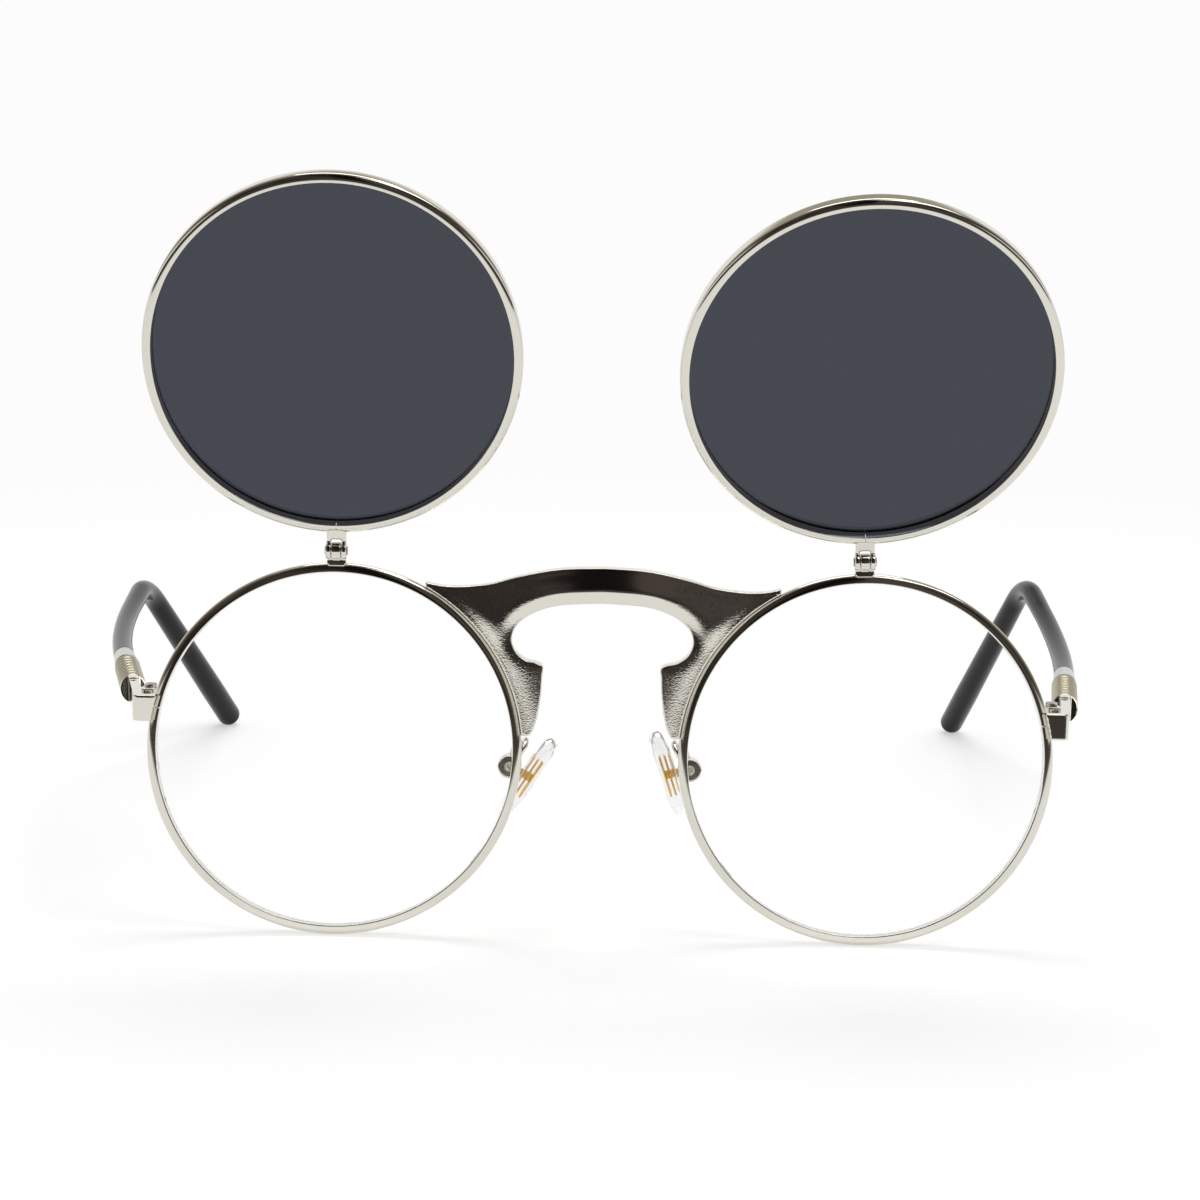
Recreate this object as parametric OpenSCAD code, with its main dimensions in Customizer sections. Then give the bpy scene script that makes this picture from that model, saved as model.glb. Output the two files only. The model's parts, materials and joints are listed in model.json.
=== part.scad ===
// Round flip up sunglasses with clear front lenses, tinted lenses on their own
// top hinges, a broad cast bridge, sprung-looking temples and rocking nose pads.
// Millimetres. Z is up, the wearer looks along -Y, the wearer's left is +X.
// The pair stands as it is put down on a table, flips up: on both front rims'
// lowest points and on both temple tips. The origin is the middle of the outline
// on that table.

/* [Front rims and lenses] */
// Diameter of each clear front lens
lens_d = 50; // [46:0.5:54]
// Distance between the middles of the two front lenses
lens_spacing = 74.6; // [72:0.2:80]
// Thickness of a front rim, measured outwards from the lens
rim_t = 1.3; // [1:0.05:1.8]
// Depth of a front rim from front to back
rim_w = 2.6; // [2.2:0.1:3.2]
// Depth of the groove that holds each lens
groove_h = 0.35; // [0.2:0.05:0.5]
// Thickness of a clear lens
lens_t = 1.6; // [1.2:0.1:2]
// Lean of the whole front, top backwards
front_lean = 5; // [2:0.5:8]
// Width of the slit where a rim closes
rim_slit = 0.2; // [0.1:0.05:0.3]

/* [Flip frames] */
// Outside diameter of a flip frame
flip_d = 51.6; // [47:0.2:52.2]
// Thickness of a flip rim, measured outwards from its lens
flip_t = 1.25; // [1:0.05:1.6]
// Depth of a flip rim
flip_w = 2.6; // [2.4:0.1:3.4]
// Depth of a tinted lens below the flat side of its rim
flip_recess = 1.6; // [1.2:0.1:1.6]
// Thickness of a tinted lens
tint_t = 0.6; // [0.5:0.05:0.7]
// Radius on both outer edges of a flip rim
flip_round = 0.6; // [0.3:0.05:0.8]
// Space between a closed flip and the front rim behind it
flip_gap = 0.2; // [0.15:0.05:0.4]
// Opening of the wearer's left flip, from closed
left_flip_open = 154.3; // [120:0.1:170]
// Opening of the wearer's right flip, from closed
right_flip_open = 160; // [120:0.1:170]
// Turn of the wearer's left flip and its hinge round the lens, inwards
left_flip_turn = 2; // [0:0.1:4]
// Turn of the wearer's right flip and its hinge round the lens, inwards
right_flip_turn = 0; // [0:0.1:4]

/* [Flip hinges] */
// Height of a flip hinge axis above the top of the larger of its two rims
flip_rise = 1.8; // [1.7:0.05:2.6]
// Drop of a closed flip below the middle of the lens behind it
flip_drop = 0.2; // [0:0.05:0.4]
// Outside diameter of a flip hinge knuckle
flip_knuckle_d = 2.4; // [2.2:0.05:2.6]
// Width of a flip hinge over its outer knuckles
flip_hinge_w = 2.9; // [2.8:0.1:4]
// Width of the middle knuckle of a flip hinge
flip_mid_w = 1.3; // [1:0.05:1.6]
// Diameter of a flip hinge pin
flip_pin_d = 0.9; // [0.7:0.05:1.1]
// Depth of a flip hinge bracket from front to back
bracket_y = 2.2; // [1.6:0.1:2.6]
// Height of the crossbar of a flip hinge bracket
bracket_bar_h = 0.95; // [0.6:0.05:1.1]
// Reach of a flip hinge bracket over the rounded edge of its rim
bracket_lap = 0.7; // [0.1:0.05:0.9]
// Depth of the seat for the bracket in the face of its rim
bracket_seat_y = 0.5; // [0.3:0.05:0.8]

/* [Bridge] */
// Height of the bridge's top above the lens middles
bridge_top = 26.5; // [25:0.1:29]
// Height of the bar of the bridge at its middle
bridge_bar_h = 5; // [4:0.1:6]
// Angle on the rim at which the horn of the bridge ends
horn_angle = 62.5; // [58:0.5:68]
// Length of the horn's free tip beyond the rim
horn_tip = 0.65; // [0.3:0.05:1]
// Depth of the bridge at its edge, in front of the rims' middle
bridge_edge_y = 1.2; // [0.9:0.05:1.4]
// Bulge of the bridge's front over its edge
bridge_bulge = 0.9; // [0.4:0.05:1.3]
// Depth of the bridge behind the rims' middle
bridge_back_y = 1; // [0.6:0.05:1.2]
// Seam between the bridge and each rim
bridge_seam = 0.05; // [0.03:0.01:0.15]

/* [End pieces] */
// Height of an end piece
end_h = 3.7; // [3.4:0.1:4.4]
// Overhang of an end piece beyond the rim's outer edge
end_out = 2.5; // [2.3:0.05:3.2]
// Stand of an end piece's face in front of the rim's face
end_proud = 1.2; // [0.6:0.05:1.4]
// Depth of an end piece's front block
end_plate_t = 1.4; // [1.2:0.05:1.6]
// Radius of an end piece's outer front edge
end_round = 0.8; // [0.4:0.05:1]
// Thickness of an end piece's side strap
strap_t = 1.4; // [1.2:0.05:1.45]
// Height of the end pieces' middle above the lens middles
end_rise = 5.7; // [4:0.1:7]
// Distance from the front plate's face back to the temple hinge axis
hinge_back = 6.1; // [5.6:0.05:6.6]
// Depth of a rim closing block
lock_y = 2.2; // [1.8:0.05:2.4]
// Height of a rim closing block
lock_h = 2.8; // [2.4:0.05:3]
// Diameter of a rim closing screw
lock_screw_d = 0.6; // [0.5:0.05:0.65]

/* [Temple hinges] */
// Outside diameter of a temple hinge knuckle
knuckle_d = 2.4; // [2.2:0.05:2.6]
// Height of the middle knuckle
mid_knuckle_h = 1.2; // [1:0.05:1.5]
// Diameter of a temple hinge screw
hinge_screw_d = 0.9; // [0.7:0.05:1.1]
// Outward splay of an end piece's strap
strap_splay = 10.5; // [7:0.5:12]
// Outward splay of the wearer's left temple as it stands
left_splay = 8.8; // [7:0.1:13.5]
// Outward splay of the wearer's right temple as it stands
right_splay = 13; // [7:0.1:13.5]

/* [Temples] */
// Height of a temple's flat tongue
tongue_h = 3.2; // [2.8:0.1:3.6]
// Distance from the hinge axis to the back of a temple's ferrule
ferrule_end = 8.5; // [7:0.1:9.5]
// Diameter of a temple's ferrule
ferrule_d = 3.8; // [3.6:0.05:4.2]
// Slope of the shoulders between ferrule and tongue
shoulder_slope = 35; // [20:1:45]
// Length of a temple's wire coil
coil_len = 15; // [13:0.5:17]
// Outside diameter of a temple's wire coil
coil_d = 3.8; // [3.6:0.05:4]
// Diameter of the coil's wire
coil_wire_d = 1.1; // [0.9:0.05:1.15]
// Number of turns in a temple's coil
coil_turns = 7.5; // [5:0.5:8]
// Diameter of a temple's core wire
core_d = 1.4; // [1:0.05:1.5]
// Length of a temple's collar
collar_len = 6.5; // [4:0.1:8]
// Front diameter of a temple's collar
collar_d = 3.6; // [3.4:0.05:3.8]
// Diameter of a sleeve where it leaves its collar
sleeve_d = 3.1; // [2.8:0.05:3.4]
// Diameter of a sleeve at its tip
tip_d = 4.2; // [3.8:0.05:4.6]
// Radius of the inward bow of a temple
bow_r = 195; // [180:5:400]
// Length of the bowed stretch of a temple
bow_len = 37; // [28:1:45]
// Length of the straight stretch between the bow and the ear
ramp_len = 8.5; // [6:0.5:28]
// Slope of the wearer's left temple ahead of the ear
left_slope = 9; // [0:0.1:10]
// Slope of the wearer's right temple ahead of the ear
right_slope = 3.5; // [0:0.1:10]
// Radius of the bend over the ear
ear_r = 17.5; // [9:0.5:20]
// Drop of a temple's end piece below level, behind the ear
ear_drop = 36.5; // [34:0.5:50]
// Inward turn of the wearer's left temple behind the ear
left_turn = 4.5; // [0:0.5:24]
// Inward turn of the wearer's right temple behind the ear
right_turn = 13.5; // [0:0.5:24]
// Length of the even stretch at a sleeve's tip
tip_len = 12; // [8:0.5:16]

/* [Nose pads] */
// Distance of each pad pivot from the rim's outer edge, outwards
pad_x = 1.9; // [1.4:0.1:3]
// Distance of each pad pivot behind the rims' middle
pad_y = 7.3; // [6.4:0.1:9]
// Height of each pad pivot, from the lens middles
pad_z = -2.9; // [-5:0.1:-1]
// Length of a nose pad
pad_l = 13.6; // [11:0.1:15]
// Width of a nose pad from front to back
pad_w = 7.2; // [6:0.1:8]
// Thickness of a nose pad
pad_t = 2.8; // [2.2:0.1:3]
// Tilt of each pad cup from upright
cup_tilt = 25.5; // [20:0.5:30]
// Tilt of the wearer's left pad as it stands
left_pad_tilt = 18.3; // [16:0.1:35]
// Tilt of the wearer's right pad as it stands
right_pad_tilt = 32.8; // [16:0.1:35]
// Diameter of a pad cup
cup_d = 3.4; // [3.2:0.05:3.6]
// Length of a pad cup along its screw
cup_l = 2.6; // [2.4:0.1:3]
// Diameter of a pad screw
pad_screw_d = 0.8; // [0.6:0.05:0.9]
// Diameter of a pad arm's wire
arm_d = 0.9; // [0.7:0.05:1]
// Thickness of each gilt plate inside a pad
insert_t = 0.45; // [0.3:0.05:0.6]
// Length of the gilt plates inside a pad
insert_l = 6.4; // [5:0.1:8]
// Width of the gilt plates inside a pad
insert_w = 3; // [2.4:0.1:4]

/* [Fits] */
// Radial clearance of a pin or screw in its bore
pin_fit = 0.04; // [0.02:0.01:0.08]
// Clearance of a lens in its groove
lens_fit = 0.04; // [0.02:0.01:0.08]
// Side clearance between neighbouring knuckles
knuckle_fit = 0.05; // [0.03:0.01:0.1]
// Clearance of a core wire in its bores
core_fit = 0.05; // [0.03:0.01:0.1]
// Space at the butt joint of each temple
butt_gap = 0.15; // [0.1:0.01:0.2]
// Space between a pad's back and its cup
pad_gap = 0.2; // [0.1:0.05:0.4]
// Space between a closed flip's edge and the end piece beside it
flip_side_fit = 0.12; // [0.08:0.01:0.3]

/* [Hidden] */

// Colours
steel = [0.78, 0.77, 0.72];
dark_steel = [0.45, 0.44, 0.41];
spring_brass = [0.68, 0.63, 0.48];
clear = [0.86, 0.9, 0.92, 0.35];
tint = [0.26, 0.27, 0.31];
black = [0.08, 0.08, 0.09];
gilt = [0.83, 0.64, 0.22];
silicone = [0.9, 0.92, 0.92, 0.5];

// Facets of round shapes, small and large
fine = 48;
wide = 180;

// Small overlap that fuses two shapes of one piece
eps = 0.01;

// Front, in its own frame: X sideways, Y backwards, Z up from the lens middles
cx = lens_spacing / 2;
rim_ri = lens_d / 2;
rim_ro = rim_ri + rim_t;
rim_z = (rim_ro - rim_t / 2) * cos(front_lean) + rim_t / 2
    + (rim_w - rim_t) / 2 * sin(front_lean);
bevel_w = 0.6 * groove_h / 0.35;
pad_pivot_x = cx - rim_ro + pad_x;

// Flips, in the frame of their hinge axis with the flip straight up
flip_ro = flip_d / 2;
flip_ri = flip_ro - flip_t;
axis_y = -rim_w / 2 - flip_gap / 2;
axis_z = max(rim_ro, flip_ro - flip_drop) + flip_rise;
flip_reach = axis_z + flip_drop;
flip_y0 = flip_gap / 2;
flip_bar_z = flip_reach - flip_ro - bracket_bar_h;

// End pieces and temple hinges, in the table's frame with the lens middles' height added
end_z = rim_z + end_rise * cos(front_lean);
rim_x_at_end = cx + sqrt(pow(rim_ro, 2) - pow(end_rise, 2));
end_x0 = rim_x_at_end - rim_t;
end_x1 = rim_x_at_end + end_out;
end_y0 = -rim_w / 2 * cos(front_lean) + end_rise * sin(front_lean) - end_proud;
hinge_y = end_y0 + hinge_back;
knuckle_gap = 0.08;
strap_in = knuckle_d / 2 + knuckle_gap;
strap_out = strap_in + strap_t;
// The strap's outer side meets the front block's side this far behind the face
strap_start = 0.5;
hinge_x = end_x1 + (hinge_back - strap_start) * tan(strap_splay) - strap_out / cos(strap_splay);
tongue_x = strap_in + strap_t / 2;

// Centre line of a temple, in the frame of its hinge axis: straight through coil and collar,
// bowed inwards and upwards, straight again, bent over the ear and straight to the tip.
// A bend is the list [slope ahead of the ear, inward turn behind it].
left_bend = [left_slope, left_turn];
right_bend = [right_slope, right_turn];
coil_end = ferrule_end + coil_len;
sleeve_start = coil_end + collar_len;
bow_angle = bow_len / bow_r * 180 / PI;
bow_end = sleeve_start + bow_len;
ramp_end = bow_end + ramp_len;
function unit(v) = v / norm(v);
function bow_dir(a, bend) = unit([-sin(a), cos(a), tan(bend[0]) * a / bow_angle]);
function bow_pt(a, bend) = [
    tongue_x - bow_r * (1 - cos(a)),
    sleeve_start + bow_r * sin(a),
    tan(bend[0]) * bow_len / 2 * pow(a / bow_angle, 2)
];
function tip_dir(bend) =
    [-sin(bow_angle + bend[1]) * cos(ear_drop), cos(bow_angle + bend[1]) * cos(ear_drop), -sin(ear_drop)];
function ramp_pt(bend) = bow_pt(bow_angle, bend) + ramp_len * bow_dir(bow_angle, bend);
function ear_angle(bend) = acos(bow_dir(bow_angle, bend) * tip_dir(bend));
function ear_side(bend) =
    let (u = bow_dir(bow_angle, bend), v = tip_dir(bend)) unit(v - (u * v) * u);
function ear_turned(a, bend) = cos(a) * bow_dir(bow_angle, bend) + sin(a) * ear_side(bend);
function ear_pt(a, bend) = ramp_pt(bend)
    + ear_r * (sin(a) * bow_dir(bow_angle, bend) + (1 - cos(a)) * ear_side(bend));
function ear_len(bend) = ear_r * ear_angle(bend) * PI / 180;
function ear_end(bend) = ramp_end + ear_len(bend);
function tip_run(bend) = (end_z + ear_pt(ear_angle(bend), bend)[2] - tip_d / 2) / sin(ear_drop);
function path_end(bend) = ear_end(bend) + tip_run(bend);
function core_end(bend) = path_end(bend) - tip_len - 2;

function bow_at(s) = (s - sleeve_start) / bow_r * 180 / PI;
function ear_at(s) = (s - ramp_end) / ear_r * 180 / PI;
function on_path(s, bend) =
    s <= sleeve_start ? [tongue_x, s, 0]
    : s <= bow_end ? bow_pt(bow_at(s), bend)
    : s <= ramp_end ? bow_pt(bow_angle, bend) + (s - bow_end) * bow_dir(bow_angle, bend)
    : s <= ear_end(bend) ? ear_pt(ear_at(s), bend)
    : ear_pt(ear_angle(bend), bend) + (s - ear_end(bend)) * tip_dir(bend);
function path_dir(s, bend) =
    s <= sleeve_start ? [0, 1, 0]
    : s <= bow_end ? bow_dir(bow_at(s), bend)
    : s <= ramp_end ? bow_dir(bow_angle, bend)
    : s <= ear_end(bend) ? ear_turned(ear_at(s), bend)
    : tip_dir(bend);

// One ring of a tube round the point p, square to the direction d
function ring(p, d, r, n) =
    let (u = unit(cross(d, [0, 0, 1])), w = cross(u, d))
    [for (k = [0 : n - 1]) p + r * (cos(360 * k / n) * u + sin(360 * k / n) * w)];

// Side faces of m rings of n points, starting at point b
function side_faces(m, n, b) = [
    for (i = [0 : m - 2], k = [0 : n - 1])
        let (p = b + i * n + k, q = b + i * n + (k + 1) % n)
        each [[p, q, p + n], [q, q + n, p + n]]
];
function turned(faces) = [for (f = faces) [f[0], f[2], f[1]]];
function flat(lists) = [for (l = lists) each l];
function cap(n, b) = [for (k = [1 : n - 2]) [b, b + k + 1, b + k]];

// A closed tube through rings, given as one list of rings
module tube(rings) {
    n = len(rings[0]);
    m = len(rings);
    faces = concat(side_faces(m, n, 0), cap(n, 0), turned(cap(n, (m - 1) * n)));
    polyhedron(points = flat(rings), faces = faces, convexity = 8);
}

// Stations along a temple: close together at the bends, wide apart elsewhere
function bend_stations(bend) = concat(
    [for (i = [0 : 6]) sleeve_start + bow_len * i / 6],
    [ramp_end],
    [for (i = [1 : 8]) ramp_end + ear_len(bend) * i / 8]
);
function sleeve_stations(bend) = concat(
    bend_stations(bend),
    [for (i = [1 : 4]) ear_end(bend) + (tip_run(bend) - tip_len + 0.6) * i / 4]
);
function core_stations(bend) = concat(
    [ferrule_end, coil_end],
    bend_stations(bend),
    [for (i = [1 : 2]) ear_end(bend) + (core_end(bend) - ear_end(bend)) * i / 2]
);

// Radius of the sleeve: even to the ear, then swelling to just inside the even tip
sleeve_tuck = 0.02;
function sleeve_r(s, bend) =
    s <= bow_end ? sleeve_d / 2
    : sleeve_d / 2 + ((tip_d - sleeve_d) / 2 - sleeve_tuck)
        * min(1, (s - bow_end) / (path_end(bend) - tip_len - bow_end));

// Outline of the standing pair, which sets the origin
function table_x(p, splay) = hinge_x + p[0] * cos(splay) + p[1] * sin(splay);
function table_y(p, splay) = hinge_y - p[0] * sin(splay) + p[1] * cos(splay);
function side_reach(splay, bend) =
    max([for (s = sleeve_stations(bend)) table_x(on_path(s, bend), splay) + sleeve_r(s, bend)]);
function back_reach(splay, bend) = table_y(on_path(path_end(bend), bend), splay) + tip_d / 2;
flip_axis_table_y = axis_y * cos(front_lean) + axis_z * sin(front_lean);
function front_reach(open) =
    let (a = 180 - open - front_lean)
    flip_axis_table_y + (flip_y0 + flip_round) * cos(a) - (flip_reach + flip_ro - flip_round) * sin(a)
        - flip_round;
shift_x = (side_reach(right_splay, right_bend) - side_reach(left_splay, left_bend)) / 2;
shift_y = -(max(back_reach(left_splay, left_bend), back_reach(right_splay, right_bend))
    + min(front_reach(left_flip_open), front_reach(right_flip_open))) / 2;

// Frames
module standing() {
    translate([shift_x, shift_y, 0]) children();
}
module on_side(side) {
    if (side > 0) children();
    if (side < 0) mirror([1, 0, 0]) children();
}
module in_front() {
    translate([0, 0, rim_z]) rotate([-front_lean, 0, 0]) children();
}
module round_lens(turn) {
    in_front() translate([cx, 0, 0]) rotate([0, -turn, 0]) children();
}
module in_flip(open, turn) {
    round_lens(turn) translate([0, axis_y, axis_z]) rotate([180 - open, 0, 0]) children();
}
module at_hinge(splay) {
    translate([hinge_x, hinge_y, end_z]) rotate([0, 0, -splay]) children();
}
module at_cup(tilt) {
    in_front() translate([pad_pivot_x, pad_y, pad_z]) rotate([0, -tilt, 0]) children();
}

// A round shape about an axis along Y, from a section in radius and depth
module spun() {
    rotate([-90, 0, 0]) rotate_extrude($fn = wide) children();
}
module rod_x(r, x0, x1) {
    translate([x0, 0, 0]) rotate([0, 90, 0]) cylinder(r = r, h = x1 - x0, $fn = fine);
}
module rod_y(r, y0, y1) {
    translate([0, y0, 0]) rotate([-90, 0, 0]) cylinder(r = r, h = y1 - y0, $fn = fine);
}
module disc_y(r, y0, y1) {
    translate([0, y0, 0]) rotate([-90, 0, 0]) cylinder(r = r, h = y1 - y0, $fn = wide);
}
module rod_z(r, z0, z1) {
    translate([0, 0, z0]) cylinder(r = r, h = z1 - z0, $fn = fine);
}
module box(x, y, z) {
    translate([x[0], y[0], z[0]]) cube([x[1] - x[0], y[1] - y[0], z[1] - z[0]]);
}

// Front rim: a bar with round edges, a groove for the lens, a slit at the end piece
module rim_section() {
    translate([rim_ri + rim_t / 2, 0]) {
        square([rim_t, rim_w - rim_t], center = true);
        for (s = [-1, 1]) translate([0, s * (rim_w - rim_t) / 2]) circle(d = rim_t, $fn = fine);
    }
}
module rim_ring() {
    in_front() translate([cx, 0, 0]) spun() difference() {
        rim_section();
        polygon([
            [rim_ri - 1, -bevel_w * (1 + 1 / groove_h)],
            [rim_ri + groove_h, 0],
            [rim_ri - 1, bevel_w * (1 + 1 / groove_h)]
        ]);
    }
}
module rim_blank() {
    in_front() translate([cx, 0, 0]) spun() rim_section();
}
// Front block of an end piece, hollowed beside the closed flip
module end_block(grow) {
    difference() {
        box([end_x0, end_x1 - end_round], [end_y0 - grow, end_y0 + end_plate_t],
            [end_z - end_h / 2 - grow, end_z + end_h / 2 + grow]);
        in_front() translate([cx, 0, -flip_drop])
            disc_y(flip_ro + flip_side_fit, -rim_w * 3, rim_w * 3);
    }
}
module rim(side) {
    color(steel) standing() on_side(side) difference() {
        rim_ring();
        end_block(0);
        box([cx + rim_ri / 2, end_x1], [-rim_w, rim_w * 2],
            [end_z - rim_slit / 2, end_z + rim_slit / 2]);
    }
}

// Clear lens: flat, with the bevel that sits in the groove
module lens(side) {
    body_r = rim_ri - lens_fit;
    edge_r = rim_ri + groove_h - lens_fit;
    edge_w = bevel_w - lens_fit;
    color(clear) standing() on_side(side) in_front() translate([cx, 0, 0]) spun() polygon([
        [0, -lens_t / 2], [body_r, -lens_t / 2], [body_r, -edge_w], [edge_r, 0],
        [body_r, edge_w], [body_r, lens_t / 2], [0, lens_t / 2]
    ]);
}

// Bridge: stations from the middle out to the horn and down the rim to the tail.
// Each joins a point of the outer edge to one of the inner edge, and the front
// swells between them.
half_gap = cx - rim_ro;
seam_r = rim_ro + bridge_seam;
function rim_edge(z) = cx - sqrt(pow(seam_r, 2) - pow(z, 2));
horn_pt = [cx - (seam_r + horn_tip) * cos(horn_angle), (seam_r + horn_tip) * sin(horn_angle)];
// Share of the way to the horn's tip, and drop below the top of the bridge
top_shares = [0, 0.245, 0.467, 0.63, 0.793, 0.915];
top_drops = [0, 0.3, 1.4, 2.55, 3.05, 3];
// Share of the gap's half width, and drop below the bar, along the opening's top
open_shares = [0, 0.545, 0.864, 1.07];
open_drops = [0, 0.4, 1.5, 3.1];
// Height above the lens middles and width out from the rim, round the opening and down the tail
tail_heights = [16.4, 14.6, 13.4, 13, 12.4, 10.8, 8, 4.8, 3, 2.65];
tail_widths = [4.05, 3.25, 4, 5.4, 5.85, 5, 3.75, 2.4, 1.42, 0.7];

function spline(p, t) =
    let (i = min(len(p) - 2, floor(t)), f = t - i,
        a = p[max(0, i - 1)], b = p[i], c = p[i + 1], d = p[min(len(p) - 1, i + 2)])
    0.5 * (2 * b + (c - a) * f + (2 * a - 5 * b + 4 * c - d) * pow(f, 2)
        + (3 * b - a - 3 * c + d) * pow(f, 3));
top_pts = concat(
    [for (i = [0 : len(top_shares) - 1]) [horn_pt[0] * top_shares[i], bridge_top - top_drops[i]]],
    [horn_pt]
);
inner_pts = concat(
    [for (i = [0 : len(open_shares) - 1])
        [half_gap * open_shares[i], bridge_top - bridge_bar_h - open_drops[i]]],
    [for (i = [0 : len(tail_heights) - 1])
        [rim_edge(tail_heights[i]) - tail_widths[i], tail_heights[i]]]
);
tail_angle = asin(tail_heights[len(tail_heights) - 1] / seam_r);
top_steps = 14;
rim_steps = 20;
// Inner edge parameter at the horn: where the opening turns downwards
horn_at = 3.6;
function outer_edge(i) =
    i <= top_steps ? spline(top_pts, i / top_steps * (len(top_pts) - 1))
    : let (a = horn_angle - 0.8 - (horn_angle - 0.8 - tail_angle) * (i - top_steps - 1) / (rim_steps - 1))
        [cx - seam_r * cos(a), seam_r * sin(a)];
function inner_edge(i) =
    i <= top_steps ? spline(inner_pts, horn_at * i / top_steps)
    : spline(inner_pts, horn_at + (len(inner_pts) - 1 - horn_at) * (i - top_steps) / rim_steps);
bulge_steps = 6;
function bridge_ring(i, side) =
    let (o = outer_edge(i), q = inner_edge(i), span = norm(o - q),
        swell = bridge_bulge * min(1, span / 4))
    concat(
        [for (k = [0 : bulge_steps])
            let (f = k / bulge_steps, p = q + (o - q) * (1 - cos(180 * f)) / 2)
            [side * p[0], -bridge_edge_y - swell * pow(sin(180 * f), 0.8), p[1]]],
        [[side * o[0], bridge_back_y, o[1]], [side * q[0], bridge_back_y, q[1]]]
    );
module bridge() {
    last = top_steps + rim_steps;
    rings = concat(
        [for (i = [last : -1 : 1]) bridge_ring(i, -1)],
        [for (i = [0 : last]) bridge_ring(i, 1)]
    );
    color(steel) standing() in_front() tube(rings);
}

// End piece: front block, strap back to the hinge and two knuckles
module hinge_frame() {
    at_hinge(strap_splay) children();
}
// Outline of block and strap from above, with a round outer front corner
corner_x = end_x1 + ((end_round - strap_start) * sin(strap_splay) - end_round) / cos(strap_splay);
strap_end_out = [hinge_x + strap_out * cos(strap_splay), hinge_y - strap_out * sin(strap_splay)];
strap_end_in = [hinge_x + strap_in * cos(strap_splay), hinge_y - strap_in * sin(strap_splay)];
block_back = end_y0 + end_plate_t;
strap_inner_x = strap_end_in[0] - (strap_end_in[1] - block_back) * tan(strap_splay);
module strap_outline() {
    polygon([
        [end_x1 - end_out / 2, end_y0],
        [corner_x, end_y0],
        [corner_x, end_y0 + end_round],
        [corner_x + end_round * cos(strap_splay), end_y0 + end_round - end_round * sin(strap_splay)],
        strap_end_out,
        strap_end_in,
        [strap_inner_x, block_back],
        [end_x1 - end_out / 2, block_back]
    ]);
    translate([corner_x, end_y0 + end_round]) circle(r = end_round, $fn = fine);
}
module end_piece(side) {
    outer = knuckle_fit + mid_knuckle_h / 2;
    color(steel) standing() on_side(side) difference() {
        union() {
            end_block(0);
            translate([0, 0, end_z - end_h / 2]) linear_extrude(height = end_h) strap_outline();
            hinge_frame() for (z = [[-end_h / 2, -outer], [outer, end_h / 2]]) {
                rod_z(knuckle_d / 2, z[0], z[1]);
                box([0, strap_in + eps], [-knuckle_d / 2, 0], z);
            }
        }
        hinge_frame() rod_z(hinge_screw_d / 2 + pin_fit, -end_h, end_h);
    }
}

// Slotted screw along Z with its head on top
module screw(d, head_d, head_h, length, slot_w) {
    difference() {
        union() {
            rod_z(d / 2, -length, eps);
            rod_z(head_d / 2, 0, head_h);
        }
        box([-head_d, head_d], [-slot_w / 2, slot_w / 2], [head_h / 2, head_h + 1]);
    }
}
head_ratio = 1.9;
head_h = 0.45;
slot_w = 0.25;
module hinge_screw(side) {
    color(steel) standing() on_side(side) hinge_frame() translate([0, 0, end_h / 2])
        rotate([0, 0, 35]) screw(hinge_screw_d, hinge_screw_d * head_ratio, head_h, end_h, slot_w);
}

// Rim closing block: two halves behind the end piece, one above and one below the slit
lock_wall = 0.13;
lock_x1 = strap_inner_x - pin_fit;
lock_x = lock_x1 - lock_wall - lock_screw_d / 2 - pin_fit;
lock_screw_y = block_back + lock_y * 0.6;
module closing_block(side) {
    color(steel) standing() on_side(side) difference() {
        translate([0, 0, end_z]) for (z = [[-lock_h / 2, -rim_slit / 2], [rim_slit / 2, lock_h / 2]])
            box([end_x0, lock_x1], [block_back, block_back + lock_y], z);
        in_front() translate([cx, 0, 0]) disc_y(rim_ro, -rim_w * 2, rim_w * 2);
        translate([lock_x, lock_screw_y, end_z])
            rod_z(lock_screw_d / 2 + pin_fit, -end_h, lock_h * 0.35);
    }
}
module closing_screw(side) {
    color(steel) standing() on_side(side) translate([lock_x, lock_screw_y, end_z - lock_h / 2])
        mirror([0, 0, 1]) rotate([0, 0, 20])
        screw(lock_screw_d, lock_screw_d * 1.6, head_h, lock_h * 0.8, slot_w);
}

// Flip hinge base: a bowl-shaped foot on the rim's top, a plate and the middle knuckle
base_w = flip_hinge_w - 0.2;
base_top = axis_z - flip_knuckle_d / 2 - 0.1;
foot_drop = 0.85;
module flip_base(side, turn) {
    color(steel) standing() on_side(side) difference() {
        round_lens(turn) difference() {
            union() {
                translate([0, axis_y + flip_y0, 0]) rotate([90, 0, 0]) mirror([0, 0, 1])
                    linear_extrude(height = bracket_y) polygon([
                        [-base_w / 2, base_top], [-base_w / 2, rim_ro - 0.05],
                        [-base_w * 0.36, rim_ro - foot_drop * 0.7], [-base_w / 4, rim_ro - foot_drop],
                        [base_w / 4, rim_ro - foot_drop], [base_w * 0.36, rim_ro - foot_drop * 0.7],
                        [base_w / 2, rim_ro - 0.05], [base_w / 2, base_top]
                    ]);
                box([-flip_mid_w / 2, flip_mid_w / 2], [axis_y + flip_y0, axis_y + flip_knuckle_d / 2],
                    [base_top - eps, axis_z]);
                translate([0, axis_y, axis_z])
                    rod_x(flip_knuckle_d / 2, -flip_mid_w / 2, flip_mid_w / 2);
            }
            translate([0, axis_y, axis_z]) rod_x(flip_pin_d / 2 + pin_fit, -flip_hinge_w, flip_hinge_w);
        }
        rim_blank();
        in_front() translate([cx, 0, 0]) disc_y(rim_ri + rim_t / 2, -rim_w, rim_w);
    }
}

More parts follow.
